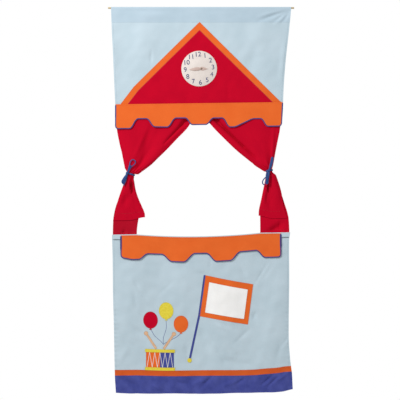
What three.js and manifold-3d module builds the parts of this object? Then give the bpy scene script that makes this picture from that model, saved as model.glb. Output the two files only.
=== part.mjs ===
// A puppet theatre for a doorway: a cloth front that hangs from one wooden rod.
// Millimetres, +Z up, X along the rod, the audience on the -Y side, origin at the rod's middle.
import * as THREE from "three";
import { mergeVertices } from "three/addons/utils/BufferGeometryUtils.js";
import Module from "manifold-3d";

// Rod and the tunnel that it lies in
const rodDiameter = 8;
const rodOverhang = 14; // past the cloth at each end
const rodChamfer = 1;
const rodClearance = 0.3;
const tunnelDepth = 67; // from the rod's axis to the tunnel's seam

// Cloth stock
const clothThickness = 0.8;
const layerGap = 0.3; // between cloths sewn one on another
const seamGap = 0.3; // between pieces that meet edge to edge
const seamAllowance = 14; // cloth that runs on under the next piece

// How the whole cloth hangs
const panelSetback = 1.6; // the panels' plane behind the rod's axis, which keeps the cloth plumb
const rightRise = 11; // the right edge hangs this much higher than the left
const sillSag = 13;

// Upper panel
const upperWidth = 840;
const upperDrop = 450; // from the rod's axis to the valance's seam
// Side edges: down the panel, then in from its top corner, as shares of the drop and the width
const upperLeftShares = [[0, 0], [0.25, 0.004], [0.42, 0.009], [0.66, 0.0144], [1, 0.0226]];
const upperRightShares = [[0, 0], [0.08, 0.003], [0.25, 0.012], [0.54, 0.029], [0.79, 0.0394], [1, 0.0444]];
const upperFoldDepth = 4;
const upperFoldPitch = 190;
const upperPlainShare = 0.13; // of the width, each side of the middle, with no fold in it
const upperPlainFoot = 50; // no fold this far above the panel's foot, where the curtains are sewn

// Roof: its corners right of the middle and below the rod, from the apex round by the left
const roofCorners = [[-7, 67], [-314, 370], [-381, 457], [379, 457]];
const roofBorderWidth = 27;

// Clock
const dialDiameter = 166;
const dialDrop = 283;
const dialShift = -9;
const dialThickness = 0.8;
const pinShift = 10; // from the dial's middle to the right
const pinDiameter = 4;
const pinHeadDiameter = 8;
const pinHeadThickness = 1.2;
const pinClearance = 0.3;
const washerDiameter = 14;
const washerThickness = 1;
const handThickness = 1;
const handGap = 0.4;
const minuteHandLength = 56;
const minuteHandWidth = 15;
const hourHandLength = 34;
const hourHandWidth = 18;
const minuteHandTurn = 185; // degrees from +X, anticlockwise
const hourHandTurn = -3;
const minuteWidestShare = 0.52; // of the hand's length, from its tip
const hourWidestShare = 0.7;

// Valances: the corners of their lobes, across the width and down, as shares of width and depth
const pipingWidth = 5;
const lobeCornerRadius = 15;
const upperValanceDepth = 110;
const upperLobeShares = [
  [0, 1], [0.095, 1], [0.124, 0.65], [0.196, 0.65], [0.226, 0.98], [0.322, 0.98],
  [0.352, 0.64], [0.429, 0.64], [0.453, 0.9], [0.555, 0.9], [0.579, 0.66], [0.651, 0.66],
  [0.681, 1.03], [0.722, 1.03], [0.824, 0.71], [0.884, 0.71], [0.908, 1.01], [1, 1.01],
];
const upperValanceSlant = 6; // its right end runs in towards the foot
const upperValanceLean = 8; // how far the curtains push its lobes forward
const lowerValanceWidth = 750;
const lowerValanceShift = -1;
const lowerValanceDepth = 117;
const lowerLobeShares = [
  [0, 0.98], [0.119, 1], [0.159, 0.73], [0.265, 0.72], [0.308, 1], [0.402, 1],
  [0.452, 0.67], [0.545, 0.67], [0.588, 0.98], [0.694, 0.97], [0.738, 0.675], [0.856, 0.675],
  [0.893, 0.98], [1, 0.97],
];
const lowerValanceLean = 3;
const lowerValanceInset = 4; // below the sill's top edge

// Curtains: across and down from the outer top corner, as shares of the width and the length
const curtainWidth = 375;
const curtainLength = 538;
const curtainFoldDepth = 18;
const curtainHemRise = 13; // the inner end of the hem hangs higher
const packedThickness = 2.4; // of the cloth where it is packed in the tie
const leftOuterShares = [
  [0, 0.005], [0.2, 0.02], [0.34, 0.057], [0.41, 0.082], [0.55, 0.12], [0.62, 0.135],
  [0.69, 0.105], [0.755, 0.07], [0.86, 0.02], [0.93, -0.0035], [1, -0.027],
];
const leftInnerShares = [
  [0, 1], [0.2, 0.894], [0.41, 0.6075], [0.547, 0.371], [0.6, 0.275],
  [0.64, 0.235], [0.755, 0.262], [0.894, 0.334], [0.96, 0.366], [1, 0.372],
];
const rightOuterShares = [
  [0, 0.008], [0.2155, 0.037], [0.354, 0.075], [0.493, 0.113], [0.58, 0.127], [0.63, 0.09],
  [0.736, 0.037], [0.805, 0.0137], [0.875, 0], [0.944, -0.0236], [1, -0.05],
];
const rightInnerShares = [
  [0, 1], [0.2155, 0.862], [0.4236, 0.563], [0.562, 0.301], [0.6, 0.235],
  [0.6665, 0.2267], [0.805, 0.264], [0.944, 0.301], [1, 0.305],
];
const curtainDepthShares = [[0, 0.06], [0.2, 0.3], [0.42, 0.8], [0.6, 1], [0.75, 0.85], [1, 0.5]];

// Folds: across from the outer edge, then how far each stands out, as shares of width and depth
const leftUpperFoldShares = [
  [0, 0.25], [0.1, 0.8], [0.28, 1], [0.42, 0.75], [0.53, 0.08],
  [0.66, 0.72], [0.78, 0.95], [0.87, 0.2], [0.94, 0.75], [1, 0.45],
];
const leftLowerFoldShares = [
  [0, 0.35], [0.12, 0.9], [0.35, 1], [0.55, 0.85], [0.78, 0.02], [0.9, 0.8], [1, 0.5],
];
const rightUpperFoldShares = [
  [0, 0.3], [0.07, 0.85], [0.14, 0.45], [0.34, 1], [0.58, 0.9],
  [0.7, 0.7], [0.82, 0.1], [0.91, 0.75], [1, 0.4],
];
const rightLowerFoldShares = [
  [0, 0.4], [0.2, 0.95], [0.4, 0.8], [0.55, 0.02], [0.7, 0.75], [0.85, 1], [1, 0.5],
];
const stripFoldShares = [[0, 0.3], [0.2, 0.95], [0.42, 0.25], [0.62, 1], [0.85, 0.4], [1, 0.8]];

// Side strips, which carry the lower cloth
const leftStripWidth = 112;
const rightStripWidth = 136;
const stripFoldDepth = 9;
const stripEdgeInset = 6; // behind the curtain's outer edge
const stripFootInset = 4; // from the lower cloth's corner
const stripFlareShare = 0.1; // of its length below the tie before it widens to its foot

// Ties: one tape round each curtain and its strip
const leftTieDrop = 776;
const rightTieDrop = 768;
const leftTieWidth = 46;
const rightTieWidth = 37;
const leftTieInset = 64; // the bundle's middle, from the curtain's outer top corner
const rightTieInset = 66;
const tieDepth = 34;
const tapeWidth = 7;
const tapeThickness = 1;
const tieReach = 6; // the bundle keeps its waist this far above and below the tape's middle
const tieRelease = 20; // its edges run free from here on
const tieSwell = 80; // its folds reach their own depth from here on
const tieClearance = 0.8;
const tieSplitShare = 0.62; // of the bundle's depth, in front, is the curtain
const curtainFillShare = 0.88; // of the bundle's width
const stripFillShare = 0.74;
const leftTieTilt = 16; // degrees
const rightTieTilt = 8;

// Bows: the knot sits on the tape, so many degrees round from the outer side towards the front
const bowCordDiameter = 5;
const bowStandoff = 6; // how far the loops stand in front of the knot
const knotDiameter = 13;
const knotTurn = 48;
const knotLapShare = 0.25; // of the knot's diameter, out past the tape
const bowLoopLength = 76;
const loopFullestShare = 0.65; // of its length from the knot, where a loop is widest
const loopLap = 0.15; // radians past its tip, where a loop's two halves overlap
// Loops: turn in degrees, length, width. Ends: turn, length. Lengths are shares of the longest loop's.
const leftLoopShares = [[59, 1, 0.34], [246, 0.74, 0.32]];
const leftEndShares = [[256, 0.97], [276, 0.68]];
const rightLoopShares = [[87, 0.79, 0.18], [247, 0.97, 0.22]];
const rightEndShares = [[226, 0.95], [268, 0.76]];

// Lower cloth
const sillDrop = 1058;
const lowerDrawIn = 8; // the sill is this much narrower than the rod's cloth
const lowerLength = 735;
const lowerTwist = 8; // the foot's right corner hangs this much higher again
const footSagShare = 0.55; // of the sill's sag that is left near the foot
const footDip = 17.5; // deepest wave of the foot's edge
const footDipShares = [
  [0, 0.17], [0.1, 0.46], [0.33, 0.31], [0.51, 0.51], [0.69, 0.67], [0.86, 1], [0.945, 0.83], [1, 0.3],
];
// Side edges: down the cloth, then in from its top corner, as shares of the length and the width
const lowerLeftShares = [[0, 0], [0.14, 0.0035], [0.39, 0.0057], [0.55, 0.0097], [0.9, 0.0165], [1, 0.022]];
const lowerRightShares = [
  [0, 0], [0.05, 0.0055], [0.3, 0.006], [0.66, 0.0087], [0.81, 0.0013], [0.91, -0.0098], [1, -0.0145],
];
const hemThickness = 2.4;
const hemDepth = 23;
const orangeBandDrop = 634;
const orangeBandWidth = 24;
const lowerFoldDepth = 6;
const lowerFoldPitch = 230;

// Sign
const signPoleTop = [17, 184]; // right of the middle, below the sill
const signPoleLength = 391;
const signPoleWidth = 8;
const signPoleLeans = [7.3, 12.6]; // degrees, beside the sign and below it
const signKnobDiameter = 19;
const signWidth = 228;
const signHeight = 189;
const signDroop = 14; // degrees
const signBorder = 22;
const signTopBorder = 28;

// Picture on the lower panel: a toy drum and three balloons
const drumShift = -192;
const drumWidth = 128;
const drumHeight = 98;
const drumRimWidth = 13;
const drumRimOverhang = 5;
const stickLength = 84;
const stickWidth = 9;
const stickLean = 34; // degrees
const balloonWidth = 66;
const balloonHeight = 78;
const balloonKnotWidth = 12;
const redBalloonPlace = [-236, 398];
const yellowBalloonPlace = [-163, 352];
const orangeBalloonPlace = [-94, 414];

// Facets
const overrun = 20; // past a cut
const outlineStep = 45; // longest straight stretch of an outline that follows the sag
const cornerSteps = 3;
const footSteps = 16;
const roundSteps = 24;
const dialSteps = 40;
const boreSteps = 12;
const cordSides = 6;

const wasm = await Module();
wasm.setup();
const { clamp, degToRad, lerp, smoothstep } = THREE.MathUtils;
const layerPitch = clothThickness + layerGap;
const halfCloth = clothThickness / 2;
const upperFoot = -upperDrop - seamAllowance;
const sillTop = -sillDrop;
const lowerWidth = upperWidth - lowerDrawIn;
const hemRadius = hemThickness / 2;
const hemMiddleY = panelSetback + halfCloth - hemRadius; // the hem is turned to the front

const cloth = (color) => new THREE.MeshStandardMaterial({ color, roughness: 0.85 });
const materials = {
  wood: new THREE.MeshStandardMaterial({ color: "#cdb98f", roughness: 0.6 }),
  paleBlue: new THREE.MeshStandardMaterial({ color: "#bfd0d8", roughness: 0.5 }),
  orange: cloth("#e96b2e"),
  red: cloth("#c50424"),
  blue: cloth("#464e91"),
  piping: cloth("#4a4580"),
  tape: cloth("#3b568f"),
  yellow: cloth("#e4d23c"),
  beige: cloth("#e2b794"),
  white: cloth("#f0efec"),
  dial: new THREE.MeshStandardMaterial({ color: "#ece8e2", roughness: 0.5 }),
  hands: new THREE.MeshStandardMaterial({ color: "#cbb8ad", roughness: 0.5 }),
  pin: new THREE.MeshStandardMaterial({ color: "#5d5a58", roughness: 0.4, metalness: 0.6 }),
};

const theatre = new THREE.Group();

// Adds a solid or a geometry to the theatre as one named piece.
function piece(name, shape, material) {
  const geometry = shape.isBufferGeometry ? shape : geometryOf(shape);
  const mesh = new THREE.Mesh(geometry, material);
  mesh.name = name;
  theatre.add(mesh);
  return mesh;
}

function solidOf(geometry) {
  const bare = geometry.clone();
  bare.deleteAttribute("normal");
  bare.deleteAttribute("uv");
  const merged = mergeVertices(bare);
  return new wasm.Manifold(
    new wasm.Mesh({
      numProp: 3,
      vertProperties: merged.attributes.position.array,
      triVerts: Uint32Array.from(merged.index.array),
    }),
  );
}

function geometryOf(solid) {
  const { vertProperties, triVerts } = solid.getMesh();
  const geometry = new THREE.BufferGeometry();
  geometry.setAttribute("position", new THREE.BufferAttribute(vertProperties, 3));
  geometry.setIndex(new THREE.BufferAttribute(triVerts, 1));
  geometry.computeVertexNormals();
  return geometry;
}

// Reads a table of [place, value] pairs at any place, on a smooth curve through its rows.
function tableAt(table, place) {
  const last = table.length - 1;
  const row = clamp(table.findIndex((pair) => pair[0] > place) - 1, 0, last - 1);
  const found = place >= table[last][0] ? last - 1 : row;
  const slopeAt = (i) => {
    const [before, after] = [table[Math.max(i - 1, 0)], table[Math.min(i + 1, last)]];
    return (after[1] - before[1]) / (after[0] - before[0]);
  };
  const [from, to] = [table[found], table[found + 1]];
  const run = to[0] - from[0];
  const t = clamp((place - from[0]) / run, 0, 1);
  const rise = to[1] - from[1];
  const bend = (1 - t) * (slopeAt(found) * run - rise) - t * (slopeAt(found + 1) * run - rise);
  return from[1] + t * rise + t * (1 - t) * bend;
}

// Where a point of the flat pattern comes to hang.
function riseAt(x, z) {
  return rightRise * (x / upperWidth + 0.5) * clamp(-z / upperDrop, 0, 1);
}

const sagLeft = -lowerWidth / 2 + stripFootInset + leftStripWidth;
const sagRight = lowerWidth / 2 - stripFootInset - rightStripWidth;
const lowerDown = (z) => clamp((sillTop - z) / lowerLength, 0, 1);

function sagAt(x, z) {
  const across = clamp((x - sagLeft) / (sagRight - sagLeft), 0, 1);
  const kept = lerp(1, footSagShare, smoothstep(lowerDown(z), 0, 1));
  return sillSag * kept * 4 * across * (1 - across);
}

function lowerRiseAt(x, z) {
  return riseAt(x, z) + lowerTwist * (x / lowerWidth + 0.5) * lowerDown(z);
}

const upperHang = ([x, z]) => [x, z + riseAt(x, z)];
const lowerHang = ([x, z]) => [x, z + lowerRiseAt(x, z) - sagAt(x, z)];

// Left and right edge of each cloth at a height.
function edgesOf(width, tables, down) {
  return [width * (tableAt(tables[0], down) - 0.5), width * (0.5 - tableAt(tables[1], down))];
}

const upperEdges = (z) =>
  edgesOf(upperWidth, [upperLeftShares, upperRightShares], clamp(-z / upperDrop, 0, 1));
const lowerEdges = (z) => edgesOf(lowerWidth, [lowerLeftShares, lowerRightShares], lowerDown(z));

// Outlines are lists of [x, z] points, anticlockwise as the audience sees them.
function subdivided(points) {
  return points.flatMap((point, i) => {
    const next = points[(i + 1) % points.length];
    const count = Math.ceil(Math.hypot(next[0] - point[0], next[1] - point[1]) / outlineStep);
    return Array.from({ length: count }, (_, k) => [
      lerp(point[0], next[0], k / count),
      lerp(point[1], next[1], k / count),
    ]);
  });
}

// Moves each side of an outline inwards by its own distance; the sides start at each point.
function inset(points, distanceAt) {
  const count = points.length;
  const sides = points.map((point, i) => {
    const next = points[(i + 1) % count];
    const length = Math.hypot(next[0] - point[0], next[1] - point[1]);
    const along = [(next[0] - point[0]) / length, (next[1] - point[1]) / length];
    const distance = distanceAt(i);
    return { along, start: [point[0] - along[1] * distance, point[1] + along[0] * distance] };
  });
  return sides.map((side, i) => {
    const before = sides[(i + count - 1) % count];
    const cross = before.along[0] * side.along[1] - before.along[1] * side.along[0];
    const gap = [side.start[0] - before.start[0], side.start[1] - before.start[1]];
    const run = (gap[0] * side.along[1] - gap[1] * side.along[0]) / cross;
    return [before.start[0] + before.along[0] * run, before.start[1] + before.along[1] * run];
  });
}

// Rounds each corner of an outline with an arc of its own radius; 0 leaves it sharp.
function rounded(points, radiusAt) {
  const count = points.length;
  return points.flatMap((corner, i) => {
    const radius = radiusAt(i);
    if (radius <= 0) return [corner];
    const sides = [points[(i + count - 1) % count], points[(i + 1) % count]].map((other) => {
      const length = Math.hypot(other[0] - corner[0], other[1] - corner[1]);
      return [(other[0] - corner[0]) / length, (other[1] - corner[1]) / length];
    });
    const half = Math.acos(sides[0][0] * sides[1][0] + sides[0][1] * sides[1][1]) / 2;
    const back = radius / Math.tan(half);
    const from = sides[0].map((part, k) => corner[k] + part * back);
    const to = sides[1].map((part, k) => corner[k] + part * back);
    const middle = sides[0].map((part, k) => part + sides[1][k]);
    const reach = radius / Math.sin(half) / Math.hypot(...middle);
    const centre = middle.map((part, k) => corner[k] + part * reach);
    const start = Math.atan2(from[1] - centre[1], from[0] - centre[0]);
    const end = Math.atan2(to[1] - centre[1], to[0] - centre[0]);
    const turn = Math.atan2(Math.sin(end - start), Math.cos(end - start));
    return Array.from({ length: cornerSteps + 1 }, (_, k) => {
      const angle = start + (turn * k) / cornerSteps;
      return [centre[0] + radius * Math.cos(angle), centre[1] + radius * Math.sin(angle)];
    });
  });
}

const ellipse = ([x, z], width, height, steps = roundSteps) =>
  Array.from({ length: steps }, (_, i) => {
    const angle = (2 * Math.PI * i) / steps;
    return [x + (width / 2) * Math.cos(angle), z + (height / 2) * Math.sin(angle)];
  });

// The outline of a cloth between its side edges, from one height to another, with its foot's edge.
function between(edgesAt, top, foot, footEdge = []) {
  const steps = Math.ceil((top - foot) / outlineStep);
  const heights = Array.from({ length: steps + 1 }, (_, i) => lerp(top, foot, i / steps));
  const left = heights.map((z) => [edgesAt(z)[0], z]);
  const right = heights.map((z) => [edgesAt(z)[1], z]);
  return [...left, ...footEdge, ...right.reverse()];
}

const shapeOf = (points) => new THREE.Shape(points.map((point) => new THREE.Vector2(...point)));

// A prism of an outline, from one Y to another.
function prism(points, front, back) {
  const geometry = new THREE.ExtrudeGeometry(shapeOf(points), {
    depth: back - front,
    bevelEnabled: false,
  });
  return solidOf(geometry.rotateX(Math.PI / 2).translate(0, back, 0));
}

const deep = tieDepth * 2; // a cutter's reach in front of and behind the cloth
const cutter = (points) => prism(points, -deep, deep);

// A bar of an outline in Y and Z, along X, in so many steps.
function bar(shape, left, right, steps) {
  const geometry = new THREE.ExtrudeGeometry(shape, {
    depth: right - left,
    steps,
    bevelEnabled: false,
  });
  const turn = new THREE.Matrix4().makeBasis(
    new THREE.Vector3(0, 1, 0),
    new THREE.Vector3(0, 0, 1),
    new THREE.Vector3(1, 0, 0),
  );
  return geometry.applyMatrix4(turn).translate(left, 0, 0);
}

// A closed sheet over a grid. pointAt gives the place of its front (side 0) and its back (side 1).
function sheet(columns, rows, pointAt) {
  const positions = [];
  const faces = [];
  const perSide = (columns + 1) * (rows + 1);
  for (let side = 0; side < 2; side++)
    for (let j = 0; j <= rows; j++)
      for (let i = 0; i <= columns; i++) positions.push(...pointAt(i / columns, j / rows, side));
  const front = (i, j) => j * (columns + 1) + i;
  const back = (i, j) => perSide + front(i, j);
  const quad = (a, b, c, d) => faces.push(a, b, c, a, c, d);
  for (let j = 0; j < rows; j++)
    for (let i = 0; i < columns; i++) {
      quad(front(i, j), front(i, j + 1), front(i + 1, j + 1), front(i + 1, j));
      quad(back(i, j), back(i + 1, j), back(i + 1, j + 1), back(i, j + 1));
    }
  for (let i = 0; i < columns; i++) {
    quad(front(i, 0), front(i + 1, 0), back(i + 1, 0), back(i, 0));
    quad(front(i, rows), back(i, rows), back(i + 1, rows), front(i + 1, rows));
  }
  for (let j = 0; j < rows; j++) {
    quad(front(0, j), back(0, j), back(0, j + 1), front(0, j + 1));
    quad(front(columns, j), front(columns, j + 1), back(columns, j + 1), back(columns, j));
  }
  const geometry = new THREE.BufferGeometry();
  geometry.setAttribute("position", new THREE.Float32BufferAttribute(positions, 3));
  geometry.setIndex(faces);
  geometry.computeVertexNormals();
  return geometry;
}

// The soft folds of the two panels, in Y. Every layer of a panel is cut from the same folds.
function upperFold(x, z) {
  const down = clamp((-z - tunnelDepth) / (-upperFoot - upperPlainFoot - tunnelDepth), 0, 1);
  const aside = smoothstep(Math.abs(x), upperWidth * upperPlainShare, upperWidth / 2);
  const wave = Math.sin(2 * Math.PI * (x / upperFoldPitch + down / 3));
  return upperFoldDepth * aside * Math.sin(Math.PI * down) * wave;
}

function lowerFold(x, z) {
  const down = clamp((lowerPlain - z) / (lowerPlain - lowerEnd), 0, 1);
  const wave = Math.sin(2 * Math.PI * (x / lowerFoldPitch + down / 2));
  const slant = Math.sin(2 * Math.PI * ((x / lowerFoldPitch) * 0.7 - down));
  return lowerFoldDepth * Math.sin(Math.PI * down ** 0.7) * (wave * 0.6 + slant * 0.4);
}

const halfSpan = upperWidth / 2 + overrun;
const zoneColumns = 20;

// Places from one height down to another, in so many even steps, without the last.
const evenly = (from, to, steps) => Array.from({ length: steps }, (_, i) => lerp(from, to, i / steps));

const upperTop = -tunnelDepth - clothThickness;
const upperPlain = upperFoot + upperPlainFoot;
const upperZone = {
  heights: [...evenly(upperTop, upperPlain, 5), upperPlain, upperFoot],
  foldAt: upperFold,
};
const lowerPlain = sillTop - hemDepth - sillSag;
const lowerEnd = sillTop - lowerLength - sillSag - overrun;
const lowerZone = {
  heights: [sillTop + rightRise, ...evenly(lowerPlain, lowerEnd, 7), lowerEnd],
  foldAt: lowerFold,
};

// One cloth of a zone, folded as all its layers are; the layers count forwards from the panel.
function clothLayer(zone, layer, thickness = clothThickness) {
  const middle = panelSetback - layer * layerPitch;
  const rows = zone.heights.length - 1;
  return solidOf(
    sheet(zoneColumns, rows, (u, v, side) => {
      const x = lerp(-halfSpan, halfSpan, u);
      const z = zone.heights[Math.round(v * rows)];
      return [x, middle + zone.foldAt(x, z) + (side - 0.5) * thickness, z];
    }),
  );
}

const upperCut = (layer, points) =>
  clothLayer(upperZone, layer).intersect(cutter(subdivided(points).map(upperHang)));
const lowerCut = (layer, points) =>
  clothLayer(lowerZone, layer).intersect(cutter(subdivided(points).map(lowerHang)));

// Rod: a dowel with chamfered ends.
function buildRod() {
  const radius = rodDiameter / 2;
  const half = upperWidth / 2 + rodOverhang;
  const profile = [
    [0, -half],
    [radius - rodChamfer, -half],
    [radius, -half + rodChamfer],
    [radius, half - rodChamfer],
    [radius - rodChamfer, half],
    [0, half],
  ];
  const points = profile.map((point) => new THREE.Vector2(...point));
  const mesh = piece("hanging_rod", new THREE.LatheGeometry(points, roundSteps), materials.wood);
  mesh.rotation.z = -Math.PI / 2;
}

// A loop round the rod, narrowing to the seam below it, as an outline in Y and Z.
function tunnelOutline(radius, tipHalf, tip) {
  const tangent = Math.asin(radius / tunnelDepth);
  const arcSteps = roundSteps / 3;
  const arc = Array.from({ length: arcSteps + 1 }, (_, i) => {
    const angle = lerp(-tangent, Math.PI + tangent, i / arcSteps);
    return new THREE.Vector2(radius * Math.cos(angle), radius * Math.sin(angle));
  });
  const tips = tipHalf > 0 ? [panelSetback - tipHalf, panelSetback + tipHalf] : [panelSetback];
  return [...arc, ...tips.map((y) => new THREE.Vector2(y, tip))];
}

function buildUpperPanel() {
  const inner = rodDiameter / 2 + rodClearance;
  const outer = inner + clothThickness;
  const loop = new THREE.Shape(tunnelOutline(outer, halfCloth, upperTop - clothThickness));
  loop.holes.push(new THREE.Path(tunnelOutline(inner, 0, -tunnelDepth)));
  const tunnel = solidOf(bar(loop, -halfSpan, halfSpan, 1));
  const outline = between(upperEdges, outer + overrun, upperFoot).map(upperHang);
  const whole = tunnel.add(clothLayer(upperZone, 0)).intersect(cutter(outline));
  piece("upper_panel", whole.subtract(pinHole()), materials.paleBlue);
}

// Roof: an orange triangle with a smaller red one on it, both with their feet under the valance.
function roofOutline(border) {
  const corners = roofCorners.map(([x, drop]) => [x, -drop]);
  const footSide = 2;
  return inset(corners, (i) => (i === footSide ? 0 : border));
}

function buildRoof() {
  const border = upperCut(1, roofOutline(0)).subtract(pinHole());
  const gable = upperCut(2, roofOutline(roofBorderWidth)).subtract(pinHole());
  piece("roof_border", border, materials.orange);
  piece("roof_gable", gable, materials.red);
}

// Clock: a dial on the gable and two loose hands on a pin that runs through all the cloths.
const dialMiddle = [dialShift, -dialDrop];
const pinPlace = [dialShift + pinShift, -dialDrop];
const dialFront = panelSetback - 3 * layerPitch + halfCloth - dialThickness;
const hourHandBack = dialFront - handGap;
const minuteHandBack = hourHandBack - handThickness - handGap;
const pinHeadBack = minuteHandBack - handThickness - handGap;
const washerFront = panelSetback + halfCloth + layerGap;
const pinEndFront = washerFront + washerThickness + layerGap;
const boreDiameter = pinDiameter + 2 * pinClearance;

function pinHole(front = -deep, back = deep) {
  return prism(ellipse(pinPlace, boreDiameter, boreDiameter, boreSteps), front, back);
}

// A leaf-shaped hand, pointing along +X from the pin, then turned by so many degrees.
function handOutline(length, width, widestShare, turn) {
  const upper = Array.from({ length: roundSteps / 2 + 1 }, (_, i) => {
    const along = i / (roundSteps / 2);
    const bulge = Math.sin(Math.PI * along ** (Math.log(0.5) / Math.log(widestShare)));
    return [lerp(length, -width / 2, along), (width / 2) * bulge];
  });
  const lower = upper.slice(1, -1).reverse();
  const outline = [...upper, ...lower.map(([x, z]) => [x, -z])];
  const angle = degToRad(turn);
  return outline.map(([x, z]) => [
    pinPlace[0] + x * Math.cos(angle) - z * Math.sin(angle),
    pinPlace[1] + x * Math.sin(angle) + z * Math.cos(angle),
  ]);
}

function buildClock() {
  const disc = ellipse(dialMiddle, dialDiameter, dialDiameter, dialSteps);
  const dial = prism(disc, dialFront, dialFront + dialThickness);
  piece("clock_dial", dial.subtract(pinHole()), materials.dial);
  const hour = handOutline(hourHandLength, hourHandWidth, hourWidestShare, hourHandTurn);
  const minute = handOutline(minuteHandLength, minuteHandWidth, minuteWidestShare, minuteHandTurn);
  const hourHand = prism(hour, hourHandBack - handThickness, hourHandBack);
  const minuteHand = prism(minute, minuteHandBack - handThickness, minuteHandBack);
  piece("hour_hand", hourHand.subtract(pinHole()), materials.hands);
  piece("minute_hand", minuteHand.subtract(pinHole()), materials.hands);

  const pinRadius = pinDiameter / 2;
  const headRadius = pinHeadDiameter / 2;
  const profile = [
    [0, pinHeadBack - pinHeadThickness],
    [headRadius * 0.7, pinHeadBack - pinHeadThickness],
    [headRadius, pinHeadBack - pinHeadThickness * 0.5],
    [headRadius, pinHeadBack],
    [pinRadius, pinHeadBack],
    [pinRadius, pinEndFront],
    [headRadius, pinEndFront],
    [headRadius, pinEndFront + pinHeadThickness],
    [0, pinEndFront + pinHeadThickness],
  ];
  const turned = (points, steps) =>
    new THREE.LatheGeometry(points.map((point) => new THREE.Vector2(...point)), steps);
  const pin = piece("clock_pin", turned(profile, boreSteps), materials.pin);
  const washerHole = pinRadius + pinClearance;
  const washerRing = [
    [washerHole, washerFront],
    [washerDiameter / 2, washerFront],
    [washerDiameter / 2, washerFront + washerThickness],
    [washerHole, washerFront + washerThickness],
    [washerHole, washerFront],
  ];
  const washer = piece("pin_washer", turned(washerRing, boreSteps), materials.pin);
  for (const mesh of [pin, washer]) mesh.position.set(pinPlace[0], 0, pinPlace[1]);
}

// Valances: cloth cut in rounded lobes, with piping round the sides and the lobes.
function valanceOutline({ left, right, slant, top, depth, lobeShares }, margin) {
  const waves = lobeShares.map(([across, down]) => {
    return [lerp(left, right - slant * across, across), top - depth * down];
  });
  const corners = [[left, top], ...waves, [right, top]];
  const last = corners.length - 1;
  const moved = inset(corners, (i) => (i === last ? 0 : margin));
  const isHollow = (i) => {
    const into = [corners[i][0] - corners[i - 1][0], corners[i][1] - corners[i - 1][1]];
    const onward = [corners[i + 1][0] - corners[i][0], corners[i + 1][1] - corners[i][1]];
    return into[0] * onward[1] < into[1] * onward[0];
  };
  return rounded(moved, (i) => {
    if (i === 0 || i === last) return 0;
    return isHollow(i) ? lobeCornerRadius + margin : lobeCornerRadius - margin;
  });
}

// Leans a hanging cloth forward, more towards its foot.
function leaned(solid, top, depth, lean) {
  return solid.warp((vertex) => {
    const down = clamp((top - vertex[2]) / depth, 0, 1);
    vertex[1] -= lean * down;
  });
}

function buildValance(name, sizes, layer, cut, lean) {
  const band = valanceOutline(sizes, 0);
  const inside = valanceOutline(sizes, pipingWidth);
  const field = valanceOutline(sizes, pipingWidth + seamGap);
  const hung = (points) => leaned(cut(layer, points), sizes.top, sizes.depth, lean);
  piece(name, hung(field), materials.orange);
  piece(name + "_piping", hung([...band, ...inside.reverse()]), materials.piping);
}

function buildUpperValance() {
  const [left, right] = upperEdges(-upperDrop);
  const sizes = {
    left,
    right,
    slant: upperValanceSlant,
    top: -upperDrop,
    depth: upperValanceDepth,
    lobeShares: upperLobeShares,
  };
  const flatFoot = -upperDrop - upperValanceDepth - overrun;
  const flatZone = {
    heights: [...evenly(-upperDrop + overrun, flatFoot, 4), flatFoot],
    foldAt: () => 0,
  };
  const cut = (layer, points) =>
    clothLayer(flatZone, layer).intersect(cutter(subdivided(points).map(upperHang)));
  buildValance("upper_valance", sizes, 5, cut, upperValanceLean);
}

// Gathered cloth: folds that stand forward or back from a plane, packed to an oval in the tie.
function gathered(side, cloth) {
  const tieAt = (curtainTop + side.tieDrop) / cloth.length;
  const tieMiddle = tieMiddleOf(side);
  const tilt = degToRad(side.tieTilt);
  const tieHalf = (side.tieWidth / 2) * Math.cos(tilt) - tieClearance;
  // The rows stand closer together towards the tie.
  const downAt = (v) => {
    const end = v < 0.5 ? -tieAt : 1 - tieAt;
    return tieAt + end * (2 * v - 1) ** 2;
  };
  return sheet(cloth.columns, cloth.rows, (u, v, face) => {
    const down = downAt(v);
    const below = (down - tieAt) * cloth.length;
    const held = 1 - smoothstep(Math.abs(below), tieReach, tieRelease);
    const packed = 1 - smoothstep(Math.abs(below), tieReach, tieSwell);
    const inwardShare = side.sign < 0 ? u : 1 - u;
    const across = 2 * inwardShare - 1;
    const open = lerp(cloth.outerAt(down), cloth.innerAt(down), inwardShare);
    const bundled = tieMiddle + (2 * u - 1) * tieHalf * cloth.fillShare;
    const plane = cloth.planeAt(down);
    const oval = Math.sqrt(1 - (cloth.fillShare * across) ** 2);
    const room = (tieDepth / 2) * oval - cloth.facing * (plane - tieCentreY()) - tieClearance;
    const thickness = lerp(clothThickness, packedThickness, packed);
    const folds = cloth.foldShares.map((table) => tableAt(table, inwardShare));
    const fold = lerp(...folds, smoothstep(below, -tieRelease, tieRelease));
    const stand = lerp(cloth.depthAt(down), room - packedThickness, packed) * fold;
    const near = plane + cloth.facing * stand;
    const skins = cloth.facing < 0 ? [near - thickness, near] : [near, near + thickness];
    const lift = cloth.hemRise * smoothstep(inwardShare, 0.5, 1) * smoothstep(down, 0.8, 1);
    const slope = side.sign * (bundled - tieMiddle) * Math.tan(tilt) * packed;
    const x = lerp(open, bundled, held);
    const z = curtainTop - down * cloth.length + lift + slope;
    return [x, skins[face], z + riseAt(x, z)];
  });
}

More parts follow.
